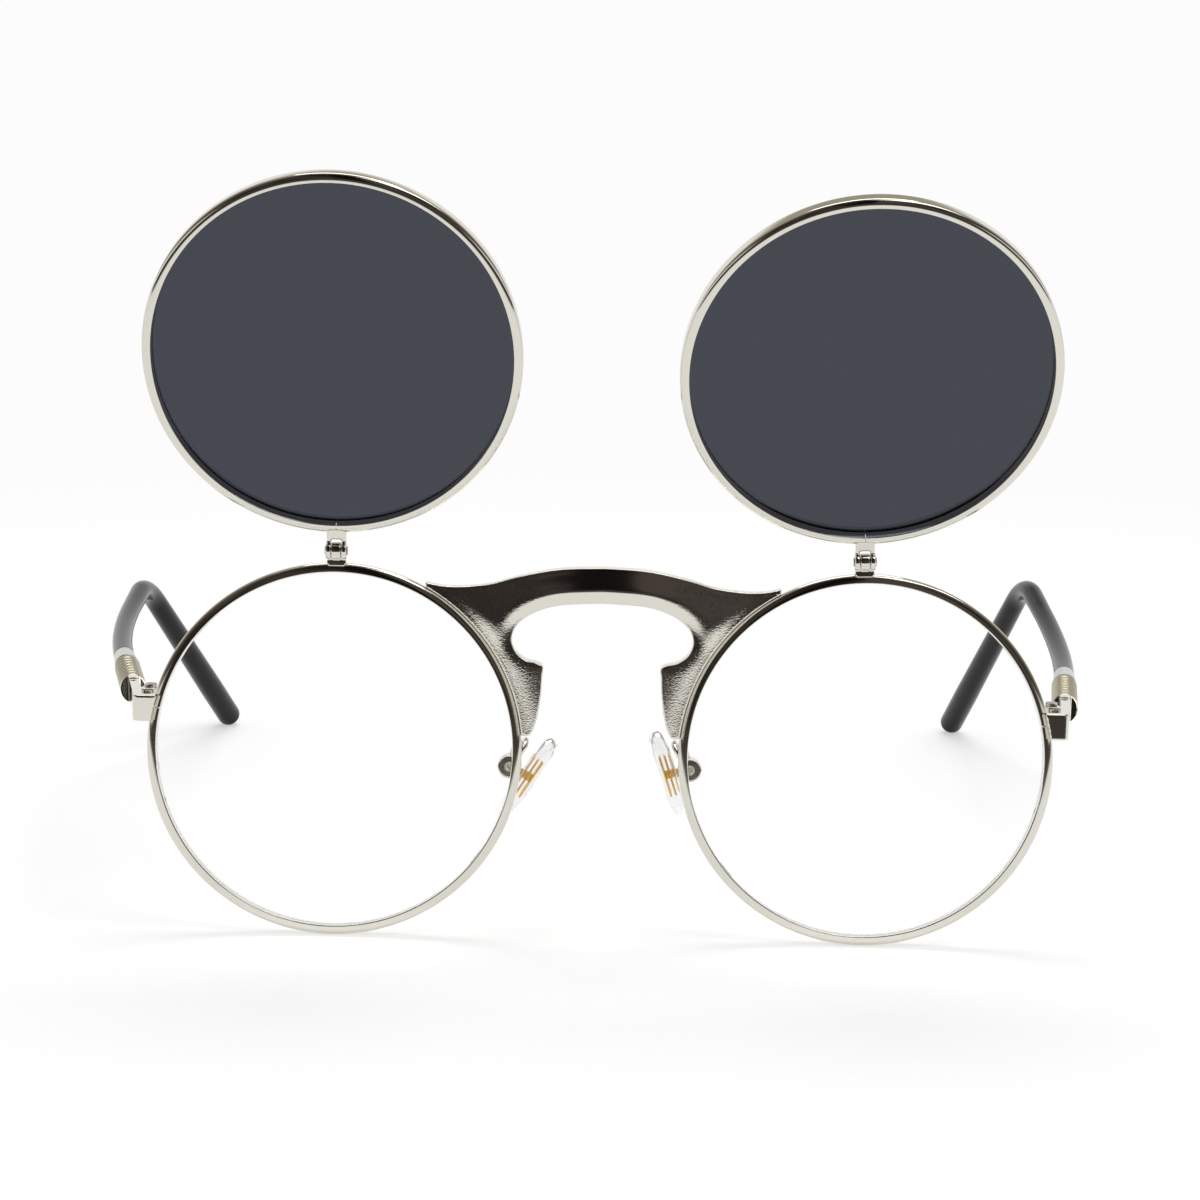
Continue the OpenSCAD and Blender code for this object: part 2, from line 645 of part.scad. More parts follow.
// Flip rim: a flat face on the side that closes against the front, round outer edges
module flip_bar() {
    far = flip_y0 + flip_w;
    translate([flip_ri, flip_y0]) square([flip_t - flip_round, flip_w]);
    translate([flip_ri, flip_y0 + flip_round]) square([flip_t, flip_w - 2 * flip_round]);
    for (y = [flip_y0 + flip_round, far - flip_round])
        translate([flip_ro - flip_round, y]) circle(r = flip_round, $fn = fine);
}
module flip_section() {
    difference() {
        flip_bar();
        translate([flip_ri - 1, flip_y0 + flip_recess]) square([1 + groove_h, tint_t]);
    }
}
module flip_rim(side, open, turn) {
    color(steel) standing() on_side(side) in_flip(open, turn) difference() {
        translate([0, 0, flip_reach]) spun() flip_section();
        box([-rim_slit / 2, rim_slit / 2], [flip_y0 - 1, flip_y0 + flip_w + 1],
            [flip_reach - flip_ro - 1, flip_reach - flip_ri + groove_h + 1]);
        bar_plate(bracket_seat_y);
    }
}
module flip_lens(side, open, turn) {
    color(tint) standing() on_side(side) in_flip(open, turn)
        translate([0, flip_y0 + flip_recess + lens_fit, flip_reach]) rotate([-90, 0, 0])
        cylinder(r = flip_ri + groove_h - lens_fit, h = tint_t - 2 * lens_fit, $fn = wide);
}

// Flip hinge bracket: a round-shouldered crossbar on the flip rim, two arms, outer knuckles
bracket_round = 0.6;
module bar_outline() {
    top = flip_reach - flip_ro + bracket_lap;
    translate([-base_w / 2, flip_bar_z]) square([base_w, top - bracket_round - flip_bar_z]);
    translate([-base_w / 2 + bracket_round, flip_bar_z])
        square([base_w - 2 * bracket_round, top - flip_bar_z]);
    for (x = [-1, 1]) translate([x * (base_w / 2 - bracket_round), top - bracket_round])
        circle(r = bracket_round, $fn = fine);
}
module bar_plate(depth) {
    translate([0, flip_y0, 0]) rotate([90, 0, 0]) mirror([0, 0, 1])
        linear_extrude(height = depth) bar_outline();
}
module flip_bracket(side, open, turn) {
    inner = flip_mid_w / 2 + knuckle_fit;
    color(steel) standing() on_side(side) in_flip(open, turn) difference() {
        union() {
            bar_plate(bracket_y);
            for (x = [[-flip_hinge_w / 2, -inner], [inner, flip_hinge_w / 2]]) {
                rod_x(flip_knuckle_d / 2, x[0], x[1]);
                box([max(x[0], -base_w / 2), min(x[1], base_w / 2)], [flip_y0, flip_knuckle_d / 2],
                    [0, flip_bar_z + eps]);
            }
        }
        rod_x(flip_pin_d / 2 + pin_fit, -flip_hinge_w, flip_hinge_w);
        difference() {
            union() {
                translate([0, 0, flip_reach]) spun() flip_bar();
                translate([0, 0, flip_reach]) disc_y(flip_ri + flip_t / 2, -1, flip_w + 2);
            }
            bar_plate(bracket_seat_y);
        }
    }
}
module flip_pin(side, open, turn) {
    head_t = 0.15;
    color(dark_steel) standing() on_side(side) in_flip(open, turn) {
        rod_x(flip_pin_d / 2, -flip_hinge_w / 2 - head_t, flip_hinge_w / 2 + head_t);
        for (x = [-flip_hinge_w / 2 - head_t, flip_hinge_w / 2])
            rod_x(flip_pin_d * 0.7, x, x + head_t);
    }
}

// Ferrule: middle knuckle, flat tongue, slanted shoulders and a round seat for the coil
ferrule_seat_l = 4;
shoulder_cut = 8;
module temple_ferrule(side, splay) {
    neck_y = butt_gap + knuckle_d / 2 + 0.3;
    shoulder_y = ferrule_end - 1.2;
    color(steel) standing() on_side(side) at_hinge(splay) difference() {
        union() {
            rod_z(knuckle_d / 2, -mid_knuckle_h / 2, mid_knuckle_h / 2);
            box([0, strap_in + eps], [butt_gap, neck_y], [-mid_knuckle_h / 2, mid_knuckle_h / 2]);
            box([strap_in, strap_out], [butt_gap, ferrule_end - eps], [-tongue_h / 2, tongue_h / 2]);
            difference() {
                translate([tongue_x, 0, 0]) rod_y(ferrule_d / 2, ferrule_end - ferrule_seat_l, ferrule_end);
                for (x = [[strap_in - ferrule_d, strap_in], [strap_out, strap_out + ferrule_d]])
                    translate([0, shoulder_y, 0]) rotate([-shoulder_slope, 0, 0])
                        box(x, [-shoulder_cut, 0], [-shoulder_cut, shoulder_cut]);
                box([strap_in - eps, strap_out + eps],
                    [-shoulder_cut, shoulder_y - 1], [-shoulder_cut, shoulder_cut]);
            }
        }
        rod_z(hinge_screw_d / 2 + pin_fit, -end_h, end_h);
    }
}

// Coil: one wire wound round the core, its two ends straight against their seats
coil_mid_r = (coil_d - coil_wire_d) / 2;
coil_rings = 8;
coil_sides = 6;
coil_run = coil_len - 2 * coil_wire_d;
coil_n = round(coil_turns * coil_rings);
function coil_pt(i, hand) =
    i < 0 ? [coil_mid_r, 0, 0]
    : i > coil_n ? let (a = hand * 360 * coil_turns)
        [coil_mid_r * cos(a), coil_len, coil_mid_r * sin(a)]
    : let (a = hand * 360 * coil_turns * i / coil_n)
        [coil_mid_r * cos(a), coil_wire_d + coil_run * i / coil_n, coil_mid_r * sin(a)];
coil_pts = [for (i = [-1 : coil_n + 1]) coil_pt(i, 1)];
function coil_ring(i, hand) =
    let (p = coil_pt(i, hand), a = coil_pt(max(-1, i - 1), hand), b = coil_pt(min(coil_n + 1, i + 1), hand),
        d = i < 0 || i > coil_n ? [0, 1, 0] : unit(unit(b - p) + unit(p - a)),
        out = unit([p[0], 0, p[2]]), u = unit(out - (out * d) * d), w = cross(u, d))
    [for (k = [0 : coil_sides - 1])
        p + coil_wire_d / 2 * (cos(360 * k / coil_sides) * u + sin(360 * k / coil_sides) * w)];
coil_gap = min([
    for (i = [0 : len(coil_pts) - 1], j = [i + coil_rings - 2 : len(coil_pts) - 1])
        if (j < len(coil_pts) && j > i + 3) norm(coil_pts[i] - coil_pts[j])
]) - coil_wire_d;
echo(least_gap_of_a_coil_to_itself = coil_gap);
module temple_spring(side, splay) {
    hand = side;
    rings = [for (i = [-1 : coil_n + 1]) coil_ring(i, hand)];
    color(spring_brass) standing() on_side(side) at_hinge(splay)
        translate([tongue_x, ferrule_end, 0]) tube(rings);
}

// Core wire: through the coil and the collar, then inside the sleeve past the ear
core_sides = 8;
module temple_core(side, splay, bend) {
    color(dark_steel) standing() on_side(side) at_hinge(splay)
        tube([for (s = core_stations(bend))
            ring(on_path(s, bend), path_dir(s, bend), core_d / 2, core_sides)]);
}
module temple_collar(side, splay) {
    color(steel) standing() on_side(side) at_hinge(splay) translate([tongue_x, coil_end, 0])
        rotate([-90, 0, 0]) difference() {
            cylinder(r1 = collar_d / 2, r2 = sleeve_d / 2, h = collar_len, $fn = fine);
            translate([0, 0, -1]) cylinder(r = core_d / 2 + core_fit, h = collar_len + 2, $fn = fine);
        }
}

// Sleeve: a swept tube with a bore for the core, and a true round tip
sleeve_sides = 16;
bore_over = 0.5;
module temple_sleeve(side, splay, bend) {
    outer = [for (s = sleeve_stations(bend))
        ring(on_path(s, bend), path_dir(s, bend), sleeve_r(s, bend), sleeve_sides)];
    bore = [for (s = core_stations(bend)) if (s >= sleeve_start)
        let (t = s >= core_end(bend) ? s + bore_over : s)
        ring(on_path(t, bend), path_dir(t, bend), core_d / 2 + core_fit, sleeve_sides)];
    n = sleeve_sides;
    m = len(outer);
    b = m * n;
    mouth = [for (k = [0 : n - 1]) let (q = (k + 1) % n) each [[k, b + k, q], [q, b + k, b + q]]];
    faces = concat(side_faces(m, n, 0), turned(cap(n, (m - 1) * n)), mouth,
        turned(side_faces(len(bore), n, b)), cap(n, b + (len(bore) - 1) * n));
    color(black) standing() on_side(side) at_hinge(splay) union() {
        polyhedron(points = concat(flat(outer), flat(bore)), faces = faces, convexity = 10);
        along(on_path(path_end(bend) - tip_len, bend), tip_dir(bend)) rotate_extrude($fn = fine) {
            square([tip_d / 2, tip_len]);
            translate([0, tip_len]) intersection() {
                circle(r = tip_d / 2, $fn = fine);
                square(tip_d);
            }
        }
    }
}
// Turns the Z axis to the direction d and moves it to p
module along(p, d) {
    translate(p) rotate([0, 0, atan2(d[1], d[0])]) rotate([0, acos(d[2]), 0]) children();
}

// Pad arm: a bent wire from the rim's back to a cup that holds the pad's eye
pad_eye_r = 0.8;
lug_t = 1.1;
cup_floor = pad_eye_r + 0.12;
cup_wall_z = pad_eye_r + 0.25;
pad_back = -cup_d / 2 - pad_gap;
arm_top = [pad_pivot_x - 0.9 * sin(cup_tilt), pad_y, pad_z + 1.38 * cos(cup_tilt)];
arm_pts = [
    [cx - rim_ro + rim_t / 2, rim_w / 2 - 0.3, -0.9],
    [cx - rim_ro + rim_t / 2 - 0.05, rim_w / 2 + 0.35, -0.75],
    [cx - rim_ro - 0.35, rim_w / 2 + 1, 0.7],
    [cx - rim_ro - 0.45, rim_w / 2 + 2.6, 1.3],
    [cx - rim_ro, pad_y - 1.5, 0.75],
    [arm_top[0] - 0.25, pad_y - 0.15, -0.4],
    arm_top
];
arm_steps = 24;
arm_sides = 12;
function arm_pt(i) = spline(arm_pts, (len(arm_pts) - 1) * i / arm_steps);
function arm_dir(i) = i == 0 ? [0, 1, 0]
    : unit(arm_pt(min(arm_steps, i + 1)) - arm_pt(i - 1));
// A ring whose sides start from a sideways direction, so the wire does not twist
function arm_ring(i) =
    let (d = arm_dir(i), u = unit([1, 0, 0] - d[0] * d), w = cross(u, d))
    [for (k = [0 : arm_sides - 1])
        arm_pt(i) + arm_d / 2 * (cos(360 * k / arm_sides) * u + sin(360 * k / arm_sides) * w)];
module pad_arm(side) {
    color(steel) standing() on_side(side) difference() {
        union() {
            in_front() tube([for (i = [0 : arm_steps]) arm_ring(i)]);
            at_cup(cup_tilt) difference() {
                rod_y(cup_d / 2, -cup_l / 2, cup_l / 2);
                box([-cup_d, cup_floor], [-lug_t / 2 - knuckle_fit, lug_t / 2 + knuckle_fit],
                    [-cup_wall_z, cup_wall_z]);
            }
        }
        at_cup(cup_tilt) rod_y(pad_screw_d / 2 + pin_fit, -cup_l, cup_l);
        rim_blank();
    }
}
module pad_screw(side) {
    color(steel) standing() on_side(side) at_cup(cup_tilt) translate([0, -cup_l / 2, 0])
        rotate([90, 0, 0]) rotate([0, 0, 30])
        screw(pad_screw_d, pad_screw_d * 1.7, head_h * 0.7, cup_l, slot_w);
}

// Pad: a soft drop, flat behind and domed on the side that bears on the nose
pad_points = 32;
pad_layers = [[0, 0.86], [0.14, 0.95], [0.34, 1], [0.6, 1], [0.8, 0.93], [0.93, 0.8], [1, 0.55]];
function pad_outline(f, x) = [
    for (k = [0 : pad_points - 1])
        let (a = 360 * k / pad_points, ca = cos(a), sa = sin(a))
        [x, f * pad_w / 2 * sign(ca) * pow(abs(ca), 0.85),
            f * pad_l / 2 * sign(sa) * pow(abs(sa), 0.85)]
];
plate_xs = [pad_back - pad_t * 0.3, pad_back - pad_t * 0.7];
module insert_shape(grow) {
    for (x = plate_xs)
        box([x - insert_t / 2 - grow, x + insert_t / 2 + grow], [-insert_w / 2 - grow, insert_w / 2 + grow],
            [-insert_l / 2 - grow, insert_l / 2 + grow]);
    box([plate_xs[1] - grow, grow > 0 ? pad_back + 1 : -0.2], [-lug_t / 2 - grow, lug_t / 2 + grow],
        [-pad_eye_r * 0.75 - grow, pad_eye_r * 0.75 + grow]);
}
module pad(side, tilt) {
    color(silicone) standing() on_side(side) at_cup(tilt) difference() {
        tube([for (l = pad_layers) pad_outline(l[1], pad_back - pad_t * l[0])]);
        insert_shape(lens_fit);
    }
}
module pad_insert(side, tilt) {
    color(gilt) standing() on_side(side) at_cup(tilt) difference() {
        union() {
            insert_shape(0);
            rod_y(pad_eye_r, -lug_t / 2, lug_t / 2);
        }
        rod_y(pad_screw_d / 2 + pin_fit, -lug_t, lug_t);
    }
}

rim(1);  // left_rim
rim(-1);  // right_rim
lens(1);  // left_lens
lens(-1);  // right_lens
bridge();
end_piece(1);  // left_end_piece
end_piece(-1);  // right_end_piece
closing_block(1);  // left_closing_block
closing_block(-1);  // right_closing_block
closing_screw(1);  // left_closing_screw
closing_screw(-1);  // right_closing_screw
hinge_screw(1);  // left_hinge_screw
hinge_screw(-1);  // right_hinge_screw
flip_base(1, left_flip_turn);  // left_flip_base
flip_base(-1, right_flip_turn);  // right_flip_base
flip_rim(1, left_flip_open, left_flip_turn);  // left_flip_rim
flip_rim(-1, right_flip_open, right_flip_turn);  // right_flip_rim
flip_lens(1, left_flip_open, left_flip_turn);  // left_flip_lens
flip_lens(-1, right_flip_open, right_flip_turn);  // right_flip_lens
flip_bracket(1, left_flip_open, left_flip_turn);  // left_flip_bracket
flip_bracket(-1, right_flip_open, right_flip_turn);  // right_flip_bracket
flip_pin(1, left_flip_open, left_flip_turn);  // left_flip_pin
flip_pin(-1, right_flip_open, right_flip_turn);  // right_flip_pin
temple_ferrule(1, left_splay);  // left_temple_ferrule
temple_ferrule(-1, right_splay);  // right_temple_ferrule
temple_spring(1, left_splay);  // left_temple_spring
temple_spring(-1, right_splay);  // right_temple_spring
temple_core(1, left_splay, left_bend);  // left_temple_core
temple_core(-1, right_splay, right_bend);  // right_temple_core
temple_collar(1, left_splay);  // left_temple_collar
temple_collar(-1, right_splay);  // right_temple_collar
temple_sleeve(1, left_splay, left_bend);  // left_temple_sleeve
temple_sleeve(-1, right_splay, right_bend);  // right_temple_sleeve
pad_arm(1);  // left_pad_arm
pad_arm(-1);  // right_pad_arm
pad_screw(1);  // left_pad_screw
pad_screw(-1);  // right_pad_screw
pad(1, left_pad_tilt);  // left_pad
pad(-1, right_pad_tilt);  // right_pad
pad_insert(1, left_pad_tilt);  // left_pad_insert
pad_insert(-1, right_pad_tilt);  // right_pad_insert
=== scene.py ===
"""Looks of a pair of round sunglasses with flip up lenses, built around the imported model.

Sizes are real ones, written in millimetres times MM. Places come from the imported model:
the boxes of its rims and the positions of its hinges.
"""

import json
import math

import bmesh
import bpy
import numpy as np
from mathutils import Matrix, Vector, geometry


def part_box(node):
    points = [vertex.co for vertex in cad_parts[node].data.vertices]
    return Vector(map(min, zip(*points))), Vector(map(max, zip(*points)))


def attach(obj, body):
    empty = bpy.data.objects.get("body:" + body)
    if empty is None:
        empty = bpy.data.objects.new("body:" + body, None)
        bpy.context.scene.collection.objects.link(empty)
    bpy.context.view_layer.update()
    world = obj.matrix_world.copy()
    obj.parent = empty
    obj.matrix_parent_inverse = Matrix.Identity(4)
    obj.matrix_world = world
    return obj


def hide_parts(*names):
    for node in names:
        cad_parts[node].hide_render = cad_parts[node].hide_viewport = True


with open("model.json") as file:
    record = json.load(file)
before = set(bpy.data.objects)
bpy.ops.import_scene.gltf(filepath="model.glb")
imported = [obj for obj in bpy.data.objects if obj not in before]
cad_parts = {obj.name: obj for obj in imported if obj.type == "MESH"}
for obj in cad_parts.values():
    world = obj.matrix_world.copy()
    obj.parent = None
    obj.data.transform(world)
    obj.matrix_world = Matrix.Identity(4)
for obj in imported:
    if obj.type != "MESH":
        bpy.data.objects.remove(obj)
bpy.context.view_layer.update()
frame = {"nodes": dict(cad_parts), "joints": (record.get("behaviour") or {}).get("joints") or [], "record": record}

MM = 0.001
SIDES = ((1, "left"), (-1, "right"))
JOINTS = {joint["name"]: joint for joint in frame["joints"]}
BODY_OF = {
    node: body
    for body, members in frame["record"]["behaviour"]["bodies"].items()
    for node in members
}


# Places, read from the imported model

left_rim_low, left_rim_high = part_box("left_rim")
right_rim_low, right_rim_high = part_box("right_rim")
left_middle = (left_rim_low + left_rim_high) / 2
right_middle = (right_rim_low + right_rim_high) / 2
MIDDLE = Vector(((left_middle.x + right_middle.x) / 2, left_middle.y, 0))
LENS_X = (left_middle.x - right_middle.x) / 2
RIM_Z = left_middle.z
FRONT_LEAN = math.radians(5)
TEMPLE_SPLAY = {1: math.radians(8.8), -1: math.radians(13)}
FLIP_OPEN = {1: math.radians(154.3), -1: math.radians(160)}
FLIP_TURN = {1: math.radians(2), -1: 0.0}
PAD_TILT = {1: math.radians(18.3), -1: math.radians(32.8)}

# Front rims and end pieces

RIM_INNER = 25 * MM
RIM_T = 1.3 * MM
RIM_OUTER = RIM_INNER + RIM_T
RIM_W = 2.6 * MM
GROOVE = 0.35 * MM
SLIT = 0.2 * MM
END_RISE = 5.7 * MM
END_LEAN = 0.09
END_LEAN_DEPTH = 2.2 * MM

# Flips and their hinges

FLIP_OUTER = 25.8 * MM
FLIP_T = 1.25 * MM
FLIP_W = 2.6 * MM
FLIP_RECESS = 1.6 * MM
FLIP_ROUND = 0.6 * MM
FLIP_SLIT = 0.08 * MM
FLIP_FACE_Y = 0.1 * MM
HINGE_RISE = 1.8 * MM
FLIP_DROP = 0.2 * MM
HINGE_Y = -RIM_W / 2 - 0.1 * MM
HINGE_Z = RIM_OUTER + HINGE_RISE
FLIP_REACH = HINGE_Z + FLIP_DROP

# Temples, measured from the hinge

TONGUE_X = 1.98 * MM
FERRULE_END = 8.5 * MM
COIL_LEN = 15 * MM
COIL_R = 1.9 * MM
COIL_WIRE = 1.1 * MM
COIL_TURNS = 7.5
COIL_FLAT = 1.5
COLLAR_LEN = 6.5 * MM
CORE_R = 0.7 * MM
SLEEVE_R = 1.55 * MM
TIP_R = 2.1 * MM
TIP_LEN = 12 * MM
CORE_SHORT = (TIP_LEN + TIP_R) * 1.4
BOW_R = 195 * MM
BOW_LEN = 37 * MM
RAMP_LEN = 8.5 * MM
EAR_R = 17.5 * MM
EAR_DROP = math.radians(36.5)
SLOPE = {1: math.radians(9), -1: math.radians(3.5)}
EAR_TURN = {1: math.radians(4.5), -1: math.radians(13.5)}

# Nose pads

PAD_AT = Vector((12.9, 7.3, -2.9)) * MM
PAD_L = 13.6 * MM
PAD_W = 7.2 * MM
PAD_T = 2.8 * MM
PAD_BACK = -1.9 * MM
PAD_SQUARENESS = 0.85
PAD_SIDES = 48

# Copies of small pieces: welded corners, flat faces joined, edges rounded on an even net

WELD = 1e-7
FLAT_WITHIN = math.radians(1.5)
EDGE_ANGLE = math.radians(32)
NET_STEP = 0.07 * MM


# Frames of the pieces: X outwards on the wearer's left, mirrored on the right


def on_side(side):
    return Matrix.Translation(MIDDLE) @ Matrix.Diagonal((side, 1, 1, 1))


def in_front(side):
    lean = Matrix.Rotation(-FRONT_LEAN, 4, "X")
    return on_side(side) @ Matrix.Translation((0, 0, RIM_Z)) @ lean


def round_lens(side):
    turn = Matrix.Rotation(-FLIP_TURN[side], 4, "Y")
    return in_front(side) @ Matrix.Translation((LENS_X, 0, 0)) @ turn


def in_flip(side):
    tip = Matrix.Rotation(math.pi - FLIP_OPEN[side], 4, "X")
    return round_lens(side) @ Matrix.Translation((0, HINGE_Y, HINGE_Z)) @ tip


def at_temple(side):
    word = "left" if side > 0 else "right"
    at = Vector(JOINTS[f"{word}_temple_hinge"]["pos_m"])
    local = Vector(((at.x - MIDDLE.x) * side, at.y - MIDDLE.y, at.z))
    splay = Matrix.Rotation(-TEMPLE_SPLAY[side], 4, "Z")
    return on_side(side) @ Matrix.Translation(local) @ splay


def at_pad(side):
    return in_front(side) @ Matrix.Translation(PAD_AT) @ Matrix.Rotation(-PAD_TILT[side], 4, "Y")


# Shader helpers


def new_material(name):
    material = bpy.data.materials.new(name)
    material.use_nodes = True
    nodes = material.node_tree.nodes
    return material, nodes, material.node_tree.links, nodes["Principled BSDF"]


def set_inputs(node, **values):
    for name, value in values.items():
        node.inputs[name.replace("_", " ")].default_value = value


def shader_group(name, inputs, outputs):
    group = bpy.data.node_groups.new(name, "ShaderNodeTree")
    for label, kind, value in inputs:
        socket = group.interface.new_socket(label, in_out="INPUT", socket_type=kind)
        socket.default_value = value
    for label, kind in outputs:
        group.interface.new_socket(label, in_out="OUTPUT", socket_type=kind)
    start = group.nodes.new("NodeGroupInput")
    end = group.nodes.new("NodeGroupOutput")
    return group, group.nodes, group.links, start, end


def maths(nodes, links, operation, *values):
    node = nodes.new("ShaderNodeMath")
    node.operation = operation
    for socket, value in zip(node.inputs, values):
        if isinstance(value, (int, float)):
            socket.default_value = value
        else:
            links.new(value, socket)
    return node.outputs[0]


def noise(nodes, links, vector, scale, detail=3.0):
    node = nodes.new("ShaderNodeTexNoise")
    node.inputs["Detail"].default_value = detail
    links.new(vector, node.inputs["Vector"])
    if isinstance(scale, (int, float)):
        node.inputs["Scale"].default_value = scale
    else:
        links.new(scale, node.inputs["Scale"])
    return node.outputs["Fac"]


def ramp(nodes, links, value, low, high):
    """Zero at low and one at high, with a soft step between them."""
    node = nodes.new("ShaderNodeMapRange")
    node.interpolation_type = "SMOOTHSTEP"
    node.inputs["From Min"].default_value = low
    node.inputs["From Max"].default_value = high
    links.new(value, node.inputs["Value"])
    return node.outputs["Result"]


def blended(nodes, links, under, over, share):
    """Lays one colour over another by a share; a colour is a socket or plain numbers."""
    node = nodes.new("ShaderNodeMix")
    node.data_type = "RGBA"
    for name, colour in (("A", under), ("B", over)):
        if isinstance(colour, tuple):
            node.inputs[name].default_value = (*colour, 1)
        else:
            links.new(colour, node.inputs[name])
    links.new(share, node.inputs["Factor"])
    return node.outputs["Result"]


def bumped(nodes, links, surface, height, strength, distance):
    bump = nodes.new("ShaderNodeBump")
    bump.inputs["Strength"].default_value = strength
    bump.inputs["Distance"].default_value = distance
    links.new(height, bump.inputs["Height"])
    links.new(bump.outputs["Normal"], surface.inputs["Normal"])


def handling_marks():
    """Soft smudges and fine hairlines that change roughness a little."""
    group, nodes, links, start, end = shader_group(
        "Handling marks",
        [
            ("Vector", "NodeSocketVector", (0, 0, 0)),
            ("Base", "NodeSocketFloat", 0.1),
            ("Amount", "NodeSocketFloat", 0.05),
            ("Scale", "NodeSocketFloat", 300.0),
        ],
        [("Roughness", "NodeSocketFloat"), ("Height", "NodeSocketFloat")],
    )
    place, scale = start.outputs["Vector"], start.outputs["Scale"]
    amount, base = start.outputs["Amount"], start.outputs["Base"]
    smudge = noise(nodes, links, place, scale, 4.0)
    stretch = nodes.new("ShaderNodeMapping")
    stretch.inputs["Scale"].default_value = (0.15, 1, 5)
    links.new(place, stretch.inputs["Vector"])
    fine_scale = maths(nodes, links, "MULTIPLY", scale, 9.0)
    hairs = noise(nodes, links, stretch.outputs["Vector"], fine_scale, 2.0)
    both = maths(nodes, links, "MULTIPLY", smudge, hairs)
    roughness = maths(nodes, links, "MULTIPLY_ADD", both, amount, base)
    links.new(roughness, end.inputs["Roughness"])
    links.new(hairs, end.inputs["Height"])
    return group


def cast_peel():
    """The pebbled skin of a cast surface under plating, as a height."""
    group, nodes, links, start, end = shader_group(
        "Cast peel",
        [
            ("Vector", "NodeSocketVector", (0, 0, 0)),
            ("Scale", "NodeSocketFloat", 5200.0),
        ],
        [("Height", "NodeSocketFloat")],
    )
    cells = nodes.new("ShaderNodeTexVoronoi")
    cells.feature = "SMOOTH_F1"
    cells.inputs["Smoothness"].default_value = 0.8
    links.new(start.outputs["Vector"], cells.inputs["Vector"])
    links.new(start.outputs["Scale"], cells.inputs["Scale"])
    grain = noise(nodes, links, start.outputs["Vector"], start.outputs["Scale"], 2.0)
    total = maths(nodes, links, "ADD", cells.outputs["Distance"], grain)
    links.new(total, end.inputs["Height"])
    return group


MARKS = handling_marks()
PEEL = cast_peel()


def object_vector(nodes):
    return nodes.new("ShaderNodeTexCoord").outputs["Object"]


def add_marks(nodes, links, surface, base, amount, scale=300.0, depth=0.0):
    marks = nodes.new("ShaderNodeGroup")
    marks.node_tree = MARKS
    links.new(object_vector(nodes), marks.inputs["Vector"])
    marks.inputs["Base"].default_value = base
    marks.inputs["Amount"].default_value = amount
    marks.inputs["Scale"].default_value = scale
    links.new(marks.outputs["Roughness"], surface.inputs["Roughness"])
    if depth:
        bumped(nodes, links, surface, marks.outputs["Height"], 0.3, depth)


# Materials


NICKEL_TONE = (0.69, 0.67, 0.60)
PEEL_FADE = (7 * MM, 12 * MM)


def plated_nickel():
    material, nodes, links, surface = new_material("plated_nickel")
    set_inputs(surface, Base_Color=(*NICKEL_TONE, 1), Metallic=1.0)
    add_marks(nodes, links, surface, 0.06, 0.08)
    return material


def cast_nickel():
    """Nickel plating on the cast bridge: smooth on the bar, pebbled on wings and tails."""
    material, nodes, links, surface = new_material("cast_nickel")
    set_inputs(surface, Base_Color=(*NICKEL_TONE, 1), Metallic=1.0)
    add_marks(nodes, links, surface, 0.08, 0.05)
    place = object_vector(nodes)
    split = nodes.new("ShaderNodeSeparateXYZ")
    links.new(place, split.inputs["Vector"])
    sideways = maths(nodes, links, "SUBTRACT", split.outputs["X"], MIDDLE.x)
    mask = ramp(nodes, links, maths(nodes, links, "ABSOLUTE", sideways), *PEEL_FADE)
    peel = nodes.new("ShaderNodeGroup")
    peel.node_tree = PEEL
    links.new(place, peel.inputs["Vector"])
    height = maths(nodes, links, "MULTIPLY", peel.outputs["Height"], mask)
    bumped(nodes, links, surface, height, 0.5, 0.035 * MM)
    return material


def turned_steel():
    material, nodes, links, surface = new_material("turned_steel")
    set_inputs(surface, Base_Color=(0.52, 0.49, 0.43, 1), Metallic=1.0)
    add_marks(nodes, links, surface, 0.22, 0.2, scale=900.0)
    return material


def drawn_wire(name, colour, roughness):
    material, nodes, links, surface = new_material(name)
    set_inputs(surface, Base_Color=(*colour, 1), Metallic=1.0)
    add_marks(nodes, links, surface, roughness, 0.2, scale=700.0, depth=0.02 * MM)
    return material


def satin_silver():
    material, nodes, links, surface = new_material("satin_silver")
    set_inputs(surface, Base_Color=(0.66, 0.66, 0.64, 1), Metallic=1.0)
    add_marks(nodes, links, surface, 0.3, 0.2, scale=500.0, depth=0.02 * MM)
    return material


def black_sleeve():
    material, nodes, links, surface = new_material("black_sleeve")
    set_inputs(surface, Specular_IOR_Level=0.1)
    place = object_vector(nodes)
    cloud = noise(nodes, links, place, 220.0, 4.0)
    tone = blended(nodes, links, (0.003, 0.003, 0.004), (0.008, 0.008, 0.011), cloud)
    links.new(tone, surface.inputs["Base Color"])
    add_marks(nodes, links, surface, 0.1, 0.2, scale=420.0)
    return material


def gilt_plate():
    material, nodes, links, surface = new_material("gilt_plate")
    set_inputs(surface, Base_Color=(0.80, 0.50, 0.12, 1), Metallic=1.0)
    add_marks(nodes, links, surface, 0.18, 0.2, scale=900.0, depth=0.02 * MM)
    return material


def let_lamps_through(material, share):
    """Lets part of a lamp's light pass, so that the glass throws a pale shadow."""
    nodes, links = material.node_tree.nodes, material.node_tree.links
    surface = nodes["Principled BSDF"]
    clear = nodes.new("ShaderNodeBsdfTransparent")
    clear.inputs["Color"].default_value = (*share, 1)
    path = nodes.new("ShaderNodeLightPath")
    mix = nodes.new("ShaderNodeMixShader")
    links.new(path.outputs["Is Shadow Ray"], mix.inputs["Fac"])
    links.new(surface.outputs["BSDF"], mix.inputs[1])
    links.new(clear.outputs["BSDF"], mix.inputs[2])
    links.new(mix.outputs["Shader"], nodes["Material Output"].inputs["Surface"])


